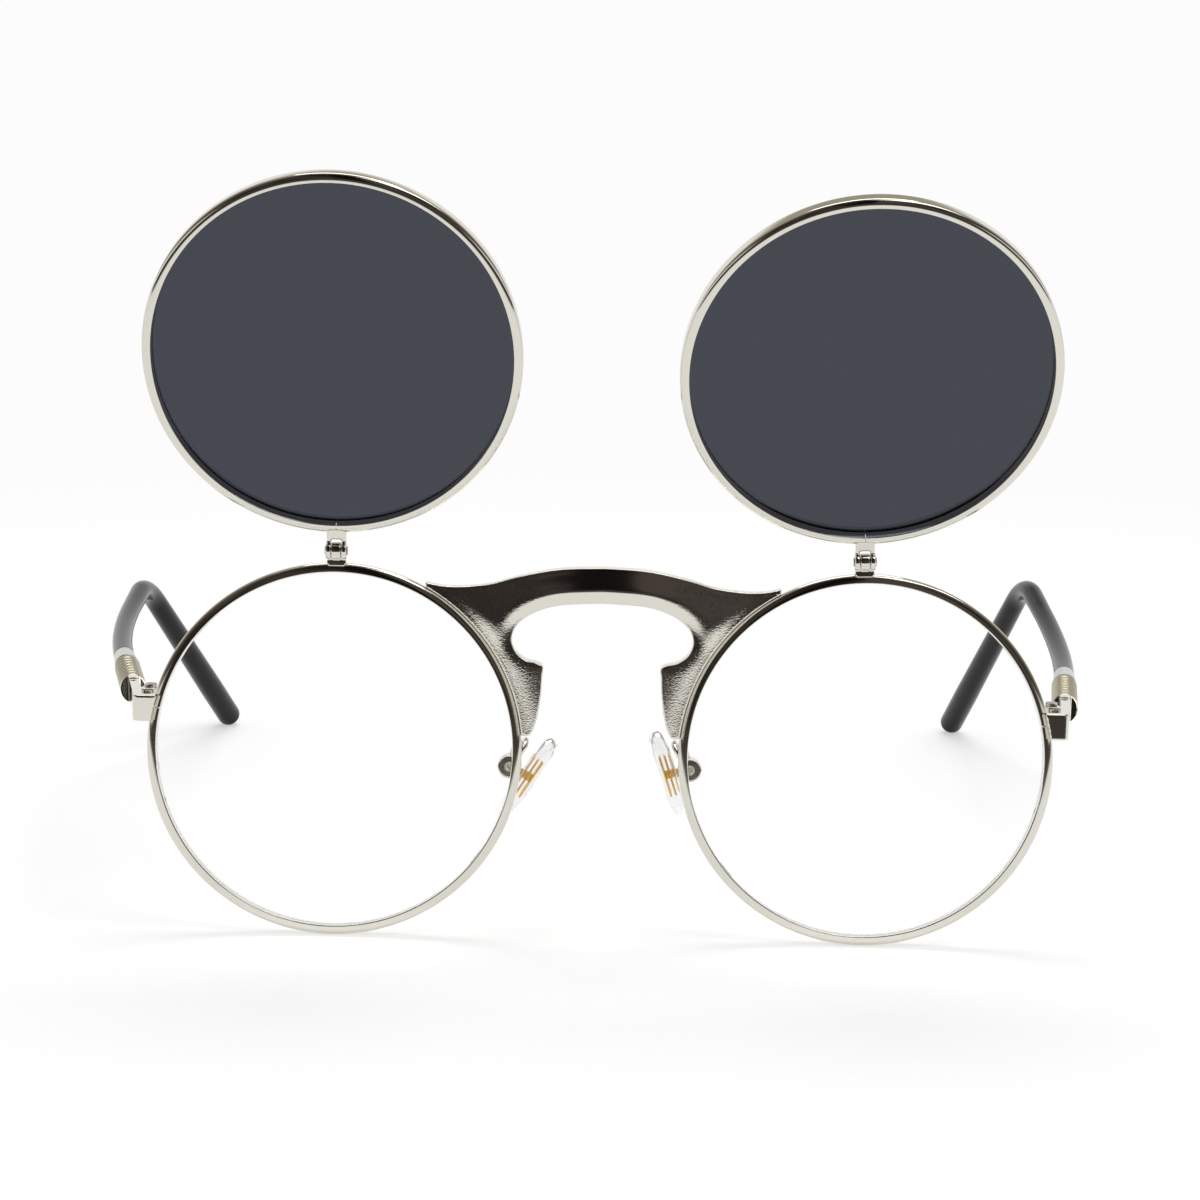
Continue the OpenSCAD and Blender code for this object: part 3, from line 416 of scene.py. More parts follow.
def clear_glass():
    material, nodes, links, surface = new_material("clear_glass")
    set_inputs(surface, Base_Color=(0.985, 0.99, 0.99, 1), Transmission_Weight=1.0, IOR=1.2)
    add_marks(nodes, links, surface, 0.0, 0.01)
    let_lamps_through(material, (0.97, 0.97, 0.97))
    return material


def tinted_glass():
    material, nodes, links, surface = new_material("tinted_glass")
    set_inputs(surface, Base_Color=(0.048, 0.051, 0.066, 1), Transmission_Weight=1.0, IOR=1.3)
    add_marks(nodes, links, surface, 0.0, 0.003)
    let_lamps_through(material, (0.12, 0.12, 0.14))
    return material


def clear_silicone():
    material, nodes, links, surface = new_material("clear_silicone")
    set_inputs(surface, Base_Color=(0.87, 0.875, 0.88, 1), Transmission_Weight=1.0, IOR=1.4)
    add_marks(nodes, links, surface, 0.1, 0.08, scale=500.0)
    let_lamps_through(material, (0.85, 0.85, 0.86))
    return material


NICKEL = plated_nickel()
CAST = cast_nickel()
STEEL = turned_steel()
WIRE = drawn_wire("coil_brass", (0.48, 0.44, 0.33), 0.25)
CORE = drawn_wire("core_wire", (0.30, 0.28, 0.25), 0.35)
SILVER = satin_silver()
BLACK = black_sleeve()
GILT = gilt_plate()
CLEAR = clear_glass()
TINT = tinted_glass()
SILICONE = clear_silicone()


# Mesh helpers


def signed_volume(mesh):
    points = np.array([v.co for v in mesh.vertices], float)
    mesh.calc_loop_triangles()
    corners = points[[t.vertices for t in mesh.loop_triangles]]
    cross = np.cross(corners[:, 1], corners[:, 2])
    return float((corners[:, 0] * cross).sum() / 6)


def add_piece(name, mesh, node, material=None):
    """Links a mesh that is already in place, and lets it stand for a CAD node."""
    if signed_volume(mesh) < 0:
        mesh.flip_normals()
    if material is not None:
        mesh.materials.clear()
        mesh.materials.append(material)
    piece = bpy.data.objects.new(name, mesh)
    bpy.context.scene.collection.objects.link(piece)
    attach(piece, BODY_OF[node])
    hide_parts(node)


def smooth_by_angle(mesh, degrees=35):
    mesh.shade_smooth()
    mesh.set_sharp_from_angle(angle=math.radians(degrees))


def holder_of(data):
    """An object that carries a mesh or a curve while a modifier works on it."""
    holder = bpy.data.objects.new("holder", data)
    bpy.context.scene.collection.objects.link(holder)
    return holder


def evaluated(piece):
    """Plain mesh of an object with its modifiers applied; the object goes away."""
    graph = bpy.context.evaluated_depsgraph_get()
    mesh = bpy.data.meshes.new_from_object(piece.evaluated_get(graph), depsgraph=graph)
    bpy.data.objects.remove(piece)
    return mesh


def merged_copy(node):
    """A copy of a CAD node's mesh with its loose triangles joined into flat faces."""
    source = bmesh.new()
    source.from_mesh(frame["nodes"][node].data)
    bmesh.ops.remove_doubles(source, verts=source.verts, dist=WELD)
    bmesh.ops.dissolve_limit(
        source, angle_limit=FLAT_WITHIN, verts=source.verts, edges=source.edges
    )
    mesh = bpy.data.meshes.new(node + "_copy")
    source.to_mesh(mesh)
    source.free()
    return mesh


def bevelled(mesh, width, segments):
    holder = holder_of(mesh)
    bevel = holder.modifiers.new("bevel", "BEVEL")
    bevel.width = width
    bevel.segments = segments
    bevel.limit_method = "ANGLE"
    bevel.angle_limit = EDGE_ANGLE
    bevel.use_clamp_overlap = True
    mesh.shade_smooth()
    weighted = holder.modifiers.new("weighted", "WEIGHTED_NORMAL")
    weighted.keep_sharp = True
    return evaluated(holder)


def dressed(node, material, width=0.08 * MM, segments=2):
    """A CAD node's own form with its edges broken, as a polished piece has them."""
    mesh = bevelled(merged_copy(node), width, segments)
    add_piece(node + "_finished", mesh, node, material)


def softened(node, frame_matrix, rounds):
    """A CAD node's own form with edges as round as a casting's, made on a fine even net."""
    mesh = merged_copy(node)
    mesh.transform(frame_matrix.inverted())
    holder = holder_of(mesh)
    net = holder.modifiers.new("net", "REMESH")
    net.mode = "VOXEL"
    net.voxel_size = NET_STEP
    net.use_smooth_shade = True
    ease = holder.modifiers.new("ease", "SMOOTH")
    ease.factor = 0.5
    ease.iterations = rounds
    result = evaluated(holder)
    result.transform(frame_matrix)
    return result


# Geometry Nodes helpers


def new_tree(name, inputs):
    tree = bpy.data.node_groups.new(name, "GeometryNodeTree")
    tree.is_modifier = True
    tree.interface.new_socket("Geometry", in_out="INPUT", socket_type="NodeSocketGeometry")
    for label, kind, value in inputs:
        socket = tree.interface.new_socket(label, in_out="INPUT", socket_type=kind)
        if value is not None:
            socket.default_value = value
    tree.interface.new_socket("Material", in_out="INPUT", socket_type="NodeSocketMaterial")
    tree.interface.new_socket("Geometry", in_out="OUTPUT", socket_type="NodeSocketGeometry")
    return tree, tree.nodes, tree.links, tree.nodes.new("NodeGroupInput")


def end_tree(nodes, links, start, result, sharp=0.6):
    """Smooths round faces, keeps corners sharp, realizes and names the material."""
    angle = nodes.new("GeometryNodeInputMeshEdgeAngle")
    soft = nodes.new("FunctionNodeCompare")
    soft.operation = "LESS_THAN"
    soft.inputs["B"].default_value = sharp
    links.new(angle.outputs["Unsigned Angle"], soft.inputs["A"])
    faces = nodes.new("GeometryNodeSetShadeSmooth")
    edges = nodes.new("GeometryNodeSetShadeSmooth")
    edges.domain = "EDGE"
    realize = nodes.new("GeometryNodeRealizeInstances")
    paint = nodes.new("GeometryNodeSetMaterial")
    end = nodes.new("NodeGroupOutput")
    links.new(result, faces.inputs["Geometry"])
    links.new(faces.outputs["Geometry"], edges.inputs["Geometry"])
    links.new(soft.outputs["Result"], edges.inputs["Shade Smooth"])
    links.new(edges.outputs["Geometry"], realize.inputs["Geometry"])
    links.new(realize.outputs["Geometry"], paint.inputs["Geometry"])
    links.new(start.outputs["Material"], paint.inputs["Material"])
    links.new(paint.outputs["Geometry"], end.inputs["Geometry"])


def run_tree(tree, matrix, values, source=None):
    """Runs a tree on a source object and gives the plain mesh, put in place."""
    holder = holder_of(source if source is not None else bpy.data.meshes.new("empty"))
    modifier = holder.modifiers.new("nodes", "NODES")
    modifier.node_group = tree
    for item in tree.interface.items_tree:
        if item.in_out == "INPUT" and item.name in values:
            modifier[item.identifier] = values[item.name]
    mesh = evaluated(holder)
    mesh.transform(matrix)
    return mesh


def ring_tree():
    """A bar of any section bent round, open at a slit. The section is a curve object."""
    tree, nodes, links, start = new_tree(
        "Bent rim",
        [
            ("Radius", "NodeSocketFloat", 0.025),
            ("Slit", "NodeSocketFloat", 0.0002),
            ("Slit angle", "NodeSocketFloat", 0.0),
            ("Steps", "NodeSocketInt", 256),
            ("Section", "NodeSocketObject", None),
        ],
    )
    arc = nodes.new("GeometryNodeCurveArc")
    section = nodes.new("GeometryNodeObjectInfo")
    sweep = nodes.new("GeometryNodeCurveToMesh")
    sweep.inputs["Fill Caps"].default_value = True
    open_angle = maths(nodes, links, "DIVIDE", start.outputs["Slit"], start.outputs["Radius"])
    half = maths(nodes, links, "DIVIDE", open_angle, 2.0)
    first = maths(nodes, links, "ADD", start.outputs["Slit angle"], half)
    sweep_angle = maths(nodes, links, "SUBTRACT", 2 * math.pi, open_angle)
    links.new(first, arc.inputs["Start Angle"])
    links.new(sweep_angle, arc.inputs["Sweep Angle"])
    links.new(start.outputs["Steps"], arc.inputs["Resolution"])
    links.new(start.outputs["Radius"], arc.inputs["Radius"])
    links.new(start.outputs["Section"], section.inputs["Object"])
    links.new(arc.outputs["Curve"], sweep.inputs["Curve"])
    links.new(section.outputs["Geometry"], sweep.inputs["Profile Curve"])
    end_tree(nodes, links, start, sweep.outputs["Mesh"], sharp=0.9)
    return tree


def coil_tree():
    """A wire wound into a spiral, broader along it than it is thick."""
    tree, nodes, links, start = new_tree(
        "Wound wire",
        [
            ("Length", "NodeSocketFloat", 0.015),
            ("Radius", "NodeSocketFloat", 0.0014),
            ("Turns", "NodeSocketFloat", 7.5),
            ("Wire radius", "NodeSocketFloat", 0.00055),
            ("Flatness", "NodeSocketFloat", 1.5),
        ],
    )
    spiral = nodes.new("GeometryNodeCurveSpiral")
    spiral.inputs["Resolution"].default_value = 40
    links.new(start.outputs["Turns"], spiral.inputs["Rotations"])
    links.new(start.outputs["Radius"], spiral.inputs["Start Radius"])
    links.new(start.outputs["Radius"], spiral.inputs["End Radius"])
    links.new(start.outputs["Length"], spiral.inputs["Height"])
    upright = nodes.new("GeometryNodeSetCurveNormal")
    upright.mode = "Z_UP"
    links.new(spiral.outputs["Curve"], upright.inputs["Curve"])
    wire = nodes.new("GeometryNodeCurvePrimitiveCircle")
    wire.inputs["Resolution"].default_value = 16
    links.new(start.outputs["Wire radius"], wire.inputs["Radius"])
    flat = nodes.new("GeometryNodeTransform")
    size = nodes.new("ShaderNodeCombineXYZ")
    size.inputs["X"].default_value = 1
    size.inputs["Z"].default_value = 1
    links.new(start.outputs["Flatness"], size.inputs["Y"])
    links.new(size.outputs["Vector"], flat.inputs["Scale"])
    links.new(wire.outputs["Curve"], flat.inputs["Geometry"])
    sweep = nodes.new("GeometryNodeCurveToMesh")
    sweep.inputs["Fill Caps"].default_value = True
    links.new(upright.outputs["Curve"], sweep.inputs["Curve"])
    links.new(flat.outputs["Geometry"], sweep.inputs["Profile Curve"])
    end_tree(nodes, links, start, sweep.outputs["Mesh"])
    return tree


def tube_tree():
    """A round tube along a path: even, then swelling, even again and round at its tip."""
    tree, nodes, links, start = new_tree(
        "Swept tube",
        [
            ("Start radius", "NodeSocketFloat", 0.0015),
            ("End radius", "NodeSocketFloat", 0.002),
            ("Swell from", "NodeSocketFloat", 0.03),
            ("Swell to", "NodeSocketFloat", 0.06),
            ("Tip rounding", "NodeSocketFloat", 0.002),
            ("Step", "NodeSocketFloat", 0.0004),
            ("Sides", "NodeSocketInt", 32),
        ],
    )
    resample = nodes.new("GeometryNodeResampleCurve")
    resample.mode = "LENGTH"
    links.new(start.outputs["Geometry"], resample.inputs["Curve"])
    links.new(start.outputs["Step"], resample.inputs["Length"])
    along = nodes.new("GeometryNodeSplineParameter")
    total = nodes.new("GeometryNodeSplineLength")
    swell = nodes.new("ShaderNodeMapRange")
    links.new(along.outputs["Length"], swell.inputs["Value"])
    links.new(start.outputs["Swell from"], swell.inputs["From Min"])
    links.new(start.outputs["Swell to"], swell.inputs["From Max"])
    links.new(start.outputs["Start radius"], swell.inputs["To Min"])
    links.new(start.outputs["End radius"], swell.inputs["To Max"])
    left = maths(nodes, links, "SUBTRACT", total.outputs["Length"], along.outputs["Length"])
    share = maths(nodes, links, "DIVIDE", left, start.outputs["Tip rounding"])
    inside = maths(nodes, links, "SUBTRACT", 1.0, maths(nodes, links, "MINIMUM", share, 1.0))
    square = maths(nodes, links, "MULTIPLY", inside, inside)
    falling = maths(nodes, links, "SQRT", maths(nodes, links, "SUBTRACT", 1.0001, square))
    radius = maths(nodes, links, "MULTIPLY", swell.outputs["Result"], falling)
    circle = nodes.new("GeometryNodeCurvePrimitiveCircle")
    circle.inputs["Radius"].default_value = 1.0
    links.new(start.outputs["Sides"], circle.inputs["Resolution"])
    sweep = nodes.new("GeometryNodeCurveToMesh")
    sweep.inputs["Fill Caps"].default_value = True
    links.new(resample.outputs["Curve"], sweep.inputs["Curve"])
    links.new(circle.outputs["Curve"], sweep.inputs["Profile Curve"])
    links.new(radius, sweep.inputs["Scale"])
    end_tree(nodes, links, start, sweep.outputs["Mesh"], sharp=1.0)
    return tree


RING = ring_tree()
COIL = coil_tree()
TUBE = tube_tree()


def oval_points(middle, across, deep, start, end, steps):
    """Points of an oval arc in the plane of a section, angles in degrees."""
    angles = np.radians(np.linspace(start, end, steps + 1))
    return [(middle[0] + across * math.cos(a), middle[1] + deep * math.sin(a)) for a in angles]


def broken_corner(out, back, start, steps):
    """The small rounding of an inner corner, a quarter turn from start."""
    return oval_points((out, back), BROKEN, BROKEN, start, start + 90, steps)


def section_object(name, points):
    """A closed outline as a curve: X outwards from the ring's middle, Y to the back."""
    data = bpy.data.curves.new(name, "CURVE")
    data.dimensions = "3D"
    spline = data.splines.new("POLY")
    spline.points.add(len(points) - 1)
    for point, (out, back) in zip(spline.points, points):
        point.co = (out, back, 0, 1)
    spline.use_cyclic_u = True
    holder = bpy.data.objects.new(name, data)
    bpy.context.scene.collection.objects.link(holder)
    return holder


# Rims


BROKEN = 0.1 * MM
FRONT_ROUND = (1.14 * MM, 0.62 * MM)
FLIP_FRONT_ROUND = (0.92 * MM, 0.62 * MM)
FLIP_LENS_T = 0.6 * MM
GROOVE_HALF = GROOVE * 1.7


def front_section():
    """Rounded from the outer edge nearly to the lens, with the lens groove inside."""
    half, deep = RIM_T / 2, RIM_W / 2
    across, down = FRONT_ROUND
    points = oval_points((half - across, -deep + down), across, down, 270, 360, 10)
    points += oval_points((half - across, deep - down), across, down, 0, 90, 10)
    points += broken_corner(-half + BROKEN, deep - BROKEN, 90, 2)
    points += [(-half, GROOVE_HALF), (-half + GROOVE, 0), (-half, -GROOVE_HALF)]
    points += broken_corner(-half + BROKEN, -deep + BROKEN, 180, 2)
    return points


def flip_section():
    """A narrow flat face, a deep step for the lens and well rounded outer corners."""
    near, far = FLIP_FACE_Y, FLIP_FACE_Y + FLIP_W
    inner, outer = -FLIP_T / 2, FLIP_T / 2
    across, down = FLIP_FRONT_ROUND
    lens_y = near + FLIP_RECESS
    seat_end = lens_y + FLIP_LENS_T
    points = oval_points((outer - across, near + down), across, down, 270, 360, 12)
    points += oval_points((outer - FLIP_ROUND, far - FLIP_ROUND), FLIP_ROUND, FLIP_ROUND, 0, 90, 8)
    points += [(inner, far), (inner, seat_end), (inner + GROOVE, seat_end)]
    points += [(inner + GROOVE, lens_y), (inner, lens_y)]
    points += broken_corner(inner + BROKEN, near + BROKEN, 180, 3)
    return points


def make_rims():
    front = section_object("front_section", front_section())
    flip = section_object("flip_section", flip_section())
    to_axis = Matrix.Rotation(math.radians(90), 4, "X")
    slit_angle = math.asin(END_RISE / RIM_OUTER)
    for side, word in SIDES:
        matrix = in_front(side) @ Matrix.Translation((LENS_X, 0, 0)) @ to_axis
        values = {
            "Radius": RIM_INNER + RIM_T / 2,
            "Slit": SLIT,
            "Slit angle": slit_angle,
            "Section": front,
            "Material": NICKEL,
        }
        mesh = run_tree(RING, matrix, values)
        add_piece(f"{word}_front_rim", mesh, f"{word}_rim")
        matrix = in_flip(side) @ Matrix.Translation((0, 0, FLIP_REACH)) @ to_axis
        values = {
            "Radius": FLIP_OUTER - FLIP_T / 2,
            "Slit": FLIP_SLIT,
            "Slit angle": -math.pi / 2,
            "Section": flip,
            "Material": NICKEL,
        }
        mesh = run_tree(RING, matrix, values)
        add_piece(f"{word}_flip_frame", mesh, f"{word}_flip_rim")
    for holder in (front, flip):
        bpy.data.objects.remove(holder)


# Bridge


def spline_at(points, t):
    i = min(len(points) - 2, int(t))
    f = t - i
    a, b = points[max(0, i - 1)], points[i]
    c, d = points[i + 1], points[min(len(points) - 1, i + 2)]
    bend = (2 * a - 5 * b + 4 * c - d) * f**2 + (3 * b - a - 3 * c + d) * f**3
    return 0.5 * (2 * b + (c - a) * f + bend)


# Sizes in the plane of the front, from the middle of the pair and the middle of the rims

SEAM_R = RIM_OUTER + 0.05 * MM
HORN_ANGLE = math.radians(62.5)
HORN_TIP = 0.65 * MM
BRIDGE_TOP = 26.5 * MM
BRIDGE_BAR = 5 * MM
BRIDGE_EDGE_Y = 1.2 * MM
BRIDGE_BULGE = 0.9 * MM
BRIDGE_BACK_Y = 1.0 * MM
BRIDGE_BOW = 0.9 * MM
BRIDGE_BOW_HALF = 21 * MM
BRIDGE_LIP = 0.22 * MM
TOP_SHARES = [0, 0.245, 0.467, 0.63, 0.793, 0.915]
TOP_DROPS = [0, 0.3, 1.4, 2.55, 3.05, 3]
OPEN_SHARES = [0, 0.545, 0.864, 1.07]
OPEN_DROPS = [0, 0.4, 1.5, 3.1]
TAIL_HEIGHTS = [16.4, 14.6, 13.4, 13, 12.4, 10.8, 8, 4.8, 3, 2.65]
TAIL_WIDTHS = [4.05, 3.25, 4, 5.4, 5.85, 5, 3.75, 2.4, 1.42, 0.7]
TOP_STEPS, RIM_STEPS, HORN_AT = 14, 20, 3.6


def bridge_edges():
    """The bridge's outer and inner edge on one half, station by station."""
    horn = np.array([LENS_X, 0]) + (SEAM_R + HORN_TIP) * np.array(
        [-math.cos(HORN_ANGLE), math.sin(HORN_ANGLE)]
    )
    top = [np.array([horn[0] * s, BRIDGE_TOP - d * MM]) for s, d in zip(TOP_SHARES, TOP_DROPS)]
    top.append(horn)
    gap = LENS_X - RIM_OUTER
    under = BRIDGE_TOP - BRIDGE_BAR
    inner = [np.array([gap * s, under - d * MM]) for s, d in zip(OPEN_SHARES, OPEN_DROPS)]
    for height, width in zip(TAIL_HEIGHTS, TAIL_WIDTHS):
        z = height * MM
        inner.append(np.array([LENS_X - math.sqrt(SEAM_R**2 - z**2) - width * MM, z]))
    tail_angle = math.asin(TAIL_HEIGHTS[-1] * MM / SEAM_R)
    first = HORN_ANGLE - math.radians(0.8)
    last = TOP_STEPS + RIM_STEPS

    def outer_at(i):
        if i <= TOP_STEPS:
            return spline_at(top, i / TOP_STEPS * (len(top) - 1))
        if i < TOP_STEPS + 1:
            share = i - TOP_STEPS
            return outer_at(TOP_STEPS) * (1 - share) + outer_at(TOP_STEPS + 1) * share
        a = first - (first - tail_angle) * (i - TOP_STEPS - 1) / (RIM_STEPS - 1)
        return np.array([LENS_X - SEAM_R * math.cos(a), SEAM_R * math.sin(a)])

    def inner_at(i):
        if i <= TOP_STEPS:
            return spline_at(inner, HORN_AT * i / TOP_STEPS)
        return spline_at(inner, HORN_AT + (len(inner) - 1 - HORN_AT) * (i - TOP_STEPS) / RIM_STEPS)

    stations = np.arange(0, last + 0.01, 0.25)
    return [(outer_at(i), inner_at(i)) for i in stations]


def distance_to(points, path):
    """Distance of each point to an open path."""
    best = np.full(len(points), 1.0)
    for start, end in zip(path, path[1:]):
        leg = end - start
        share = np.clip((points - start) @ leg / max(leg @ leg, 1e-18), 0, 1)
        best = np.minimum(best, np.linalg.norm(points - start - share[:, None] * leg, axis=1))
    return best


def soft_step(x):
    x = np.clip(x, 0, 1)
    return x * x * (3 - 2 * x)


def rounded(x):
    return np.sqrt(np.clip(1 - (1 - np.clip(x, 0, 1)) ** 2, 0, 1))


def shrunk(outline, inset):
    """The outline moved inwards by a small inset, point by point."""
    ahead = np.roll(outline, -1, axis=0) - np.roll(outline, 1, axis=0)
    ahead /= np.linalg.norm(ahead, axis=1)[:, None]
    return outline + inset * np.stack([ahead[:, 1], -ahead[:, 0]], axis=1)


# Shares of the face's height that are lost towards each edge, and over what width

OPENING_LOSS, OPENING_ROLL = 0.8, 2.0 * MM
TAIL_LOSS, TAIL_ROLL = 0.14, 0.8 * MM
RIM_LOSS, RIM_ROLL = 0.45, 2.3 * MM
TOP_LOSS, TOP_LEAN = 0.8, 5.5 * MM
LOW_LOSS, LOW_START, LOW_RUN = 0.45, 17 * MM, 14 * MM
BAR_START, BAR_FADE = 11.5 * MM, 8 * MM
LIP_ROWS = (0.1, 0.35, 0.7, 1.15, 1.8, 2.7)
NET_MM = 0.2
NET_MARGIN = BRIDGE_LIP * 3.3
EASE_RINGS = (0.35 * MM, 0.7 * MM, 1.05 * MM)


def bridge_face(flat, top, rim, opening, tail):
    """How far the face stands before the bridge's edge: it rolls in at the opening, the
    rims and the tail, leans back towards the top and thins out downwards."""
    size = np.stack([np.abs(flat[:, 0]), flat[:, 1]], axis=1)
    height = size[:, 1]
    bar = soft_step((height - BAR_START) / BAR_FADE)
    face = 1 - OPENING_LOSS * bar * (1 - soft_step(distance_to(size, opening) / OPENING_ROLL))
    face *= 1 - TAIL_LOSS * (1 - soft_step(distance_to(size, tail) / TAIL_ROLL))
    face *= 1 - RIM_LOSS * (1 - soft_step(distance_to(size, rim) / RIM_ROLL))
    face *= 1 - TOP_LOSS * (1 - np.clip(distance_to(size, top) / TOP_LEAN, 0, 1)) ** 1.5
    face *= 1 - LOW_LOSS * np.clip((LOW_START - height) / LOW_RUN, 0, 1)
    return BRIDGE_BULGE * face


def bow_and_lip(flat, paths):
    """The bow of the whole bridge, and the small round lip along every edge."""
    size = np.stack([np.abs(flat[:, 0]), flat[:, 1]], axis=1)
    edge = np.min([distance_to(size, path) for path in paths], axis=0)
    bow = BRIDGE_BOW * np.clip(1 - (flat[:, 0] / BRIDGE_BOW_HALF) ** 2, 0, 1) ** 1.5
    return bow + BRIDGE_LIP * (rounded(edge / BRIDGE_LIP) - 1)


def make_bridge():
    """The face is a fine net over the outline, shaped by its distance to each edge and
    averaged over a small disc, so that no ridge shows where two edges meet."""
    edges = bridge_edges()
    outer = np.array([pair[0] for pair in edges])
    inner = np.array([pair[1] for pair in edges])
    horn_at = TOP_STEPS * 4
    notch = int(np.argmin(np.where(inner[:, 1] < 14 * MM, inner[:, 0], 1.0)))
    paths = (outer[: horn_at + 1], outer[horn_at:], inner[: notch + 1], inner[notch:])
    loop = np.concatenate([outer, inner[:0:-1], (inner * (-1, 1)), (outer * (-1, 1))[:0:-1]])
    area = np.sum(loop[:, 0] * np.roll(loop[:, 1], -1) - loop[:, 1] * np.roll(loop[:, 0], -1))
    inward = 1 if area < 0 else -1
    rows = [shrunk(loop, inward * BRIDGE_LIP * share) for share in LIP_ROWS]
    grid_x = np.arange(-25, 25, NET_MM) * MM
    grid_z = np.arange(2, 27, NET_MM) * MM
    grid = np.array([(x, z) for x in grid_x for z in grid_z])
    grid = grid[distance_to(grid, np.concatenate([loop, loop[:1]])) > NET_MARGIN]
    points = np.concatenate([loop, *rows, grid])
    count = len(loop)
    border = [(i, (i + 1) % count) for i in range(count)]
    flat, _, faces, _, _, _ = geometry.delaunay_2d_cdt(
        [Vector(p) for p in points.tolist()], border, [list(range(count))], 1, 1e-7
    )
    used = sorted({i for corners in faces for i in corners})
    place = {i: k for k, i in enumerate(used)}
    flat = np.array([tuple(flat[i]) for i in used])
    turns = np.arange(10) * math.pi / 5
    ring = np.stack([np.cos(turns), np.sin(turns)], axis=1)
    disc = [np.zeros(2), *np.concatenate([ring * radius for radius in EASE_RINGS])]
    face = sum(bridge_face(flat + step, *paths) for step in disc) / len(disc)
    ahead = BRIDGE_EDGE_Y + face + bow_and_lip(flat, paths)
    net = bmesh.new()
    front = [net.verts.new((x, -y, z)) for (x, z), y in zip(flat.tolist(), ahead)]
    for corners in faces:
        net.faces.new([front[place[i]] for i in corners])
    rim_edges = [edge for edge in net.edges if edge.is_boundary]
    made = bmesh.ops.extrude_edge_only(net, edges=rim_edges)["geom"]
    back = {v for v in made if isinstance(v, bmesh.types.BMVert)}
    for vert in back:
        vert.co.y = BRIDGE_BACK_Y
    back_edges = [e for e in made if isinstance(e, bmesh.types.BMEdge) and e.is_boundary]
    bmesh.ops.triangle_fill(net, edges=back_edges, use_beauty=True)
    bmesh.ops.recalc_face_normals(net, faces=net.faces)
    mesh = bpy.data.meshes.new("bridge_mesh")
    net.to_mesh(mesh)
    net.free()
    smooth_by_angle(mesh, 50)
    mesh.transform(in_front(1))
    add_piece("cast_bridge", mesh, "bridge", CAST)


# Temples


def unit(v):
    return v / np.linalg.norm(v)


def temple_path(side, hinge_z):
    """Points along a temple in the frame of its hinge, with the temple's whole length."""
    rise = math.tan(SLOPE[side])
    start = FERRULE_END + COIL_LEN + COLLAR_LEN
    bow_angle = BOW_LEN / BOW_R

    def bow(a):
        height = rise * BOW_LEN / 2 * (a / bow_angle) ** 2
        inwards = BOW_R * (1 - math.cos(a))
        return np.array([TONGUE_X - inwards, start + BOW_R * math.sin(a), height])

    ahead = unit(np.array([-math.sin(bow_angle), math.cos(bow_angle), rise]))
    heading = bow_angle + EAR_TURN[side]
    level = math.cos(EAR_DROP)
    down = np.array([-math.sin(heading) * level, math.cos(heading) * level, -math.sin(EAR_DROP)])
    ramp_end = bow(bow_angle) + RAMP_LEN * ahead
    ear_angle = math.acos(float(ahead @ down))
    across = unit(down - (ahead @ down) * ahead)

    def ear(a):
        return ramp_end + EAR_R * (math.sin(a) * ahead + (1 - math.cos(a)) * across)

    ear_end = ear(ear_angle)
    run = (hinge_z + ear_end[2] - TIP_R) / math.sin(EAR_DROP)
    points = [bow(a) for a in np.linspace(0, bow_angle, 40)]
    points += [bow(bow_angle) + RAMP_LEN * f * ahead for f in np.linspace(0, 1, 6)[1:]]
    points += [ear(a) for a in np.linspace(0, ear_angle, 40)[1:]]
    points += [ear_end + down * (run + TIP_R) * f for f in np.linspace(0, 1, 30)[1:]]
    return points, BOW_LEN + RAMP_LEN + EAR_R * ear_angle + run


def path_curve(name, points):
    data = bpy.data.curves.new(name, "CURVE")
    data.dimensions = "3D"
    spline = data.splines.new("POLY")
    spline.points.add(len(points) - 1)
    for point, place in zip(spline.points, points):
        point.co = (*place, 1)
    return data


def make_temples():
    along_y = Matrix.Rotation(math.radians(-90), 4, "X")
    for side, word in SIDES:
        matrix = at_temple(side)
        points, length = temple_path(side, JOINTS[f"{word}_temple_hinge"]["pos_m"][2])
        values = {
            "Start radius": SLEEVE_R,
            "End radius": TIP_R,
            "Swell from": BOW_LEN,
            "Swell to": length - TIP_LEN,
            "Tip rounding": TIP_R,
            "Step": 0.4 * MM,
            "Sides": 32,
            "Material": BLACK,
        }
        mesh = run_tree(TUBE, matrix, values, path_curve(f"{word}_path", points))
        add_piece(f"{word}_sleeve", mesh, f"{word}_temple_sleeve")
        straight = [np.array([TONGUE_X, y, 0]) for y in np.linspace(FERRULE_END, points[0][1], 12)]
        core_end = points[-1][1] - CORE_SHORT
        inside = [p for p in points if p[1] < core_end]
        values.update({"Start radius": CORE_R, "End radius": CORE_R, "Tip rounding": 0.1 * MM})
        values.update({"Step": 1.0 * MM, "Sides": 16, "Material": CORE})
        core_path = path_curve(f"{word}_core_path", straight + inside[1:])
        mesh = run_tree(TUBE, matrix, values, core_path)
        add_piece(f"{word}_core", mesh, f"{word}_temple_core")
        seat = COIL_WIRE * COIL_FLAT * 0.515
        values = {
            "Length": COIL_LEN - 2 * seat,
            "Radius": COIL_R - COIL_WIRE / 2,
            "Turns": COIL_TURNS,
            "Wire radius": COIL_WIRE / 2,
            "Flatness": COIL_FLAT,
            "Material": WIRE,
        }
        place = matrix @ Matrix.Translation((TONGUE_X, FERRULE_END + seat, 0)) @ along_y
        mesh = run_tree(COIL, place, values)
        add_piece(f"{word}_coil", mesh, f"{word}_temple_spring")
        dressed(f"{word}_temple_collar", SILVER, 0.12 * MM, 3)


# Nose pads


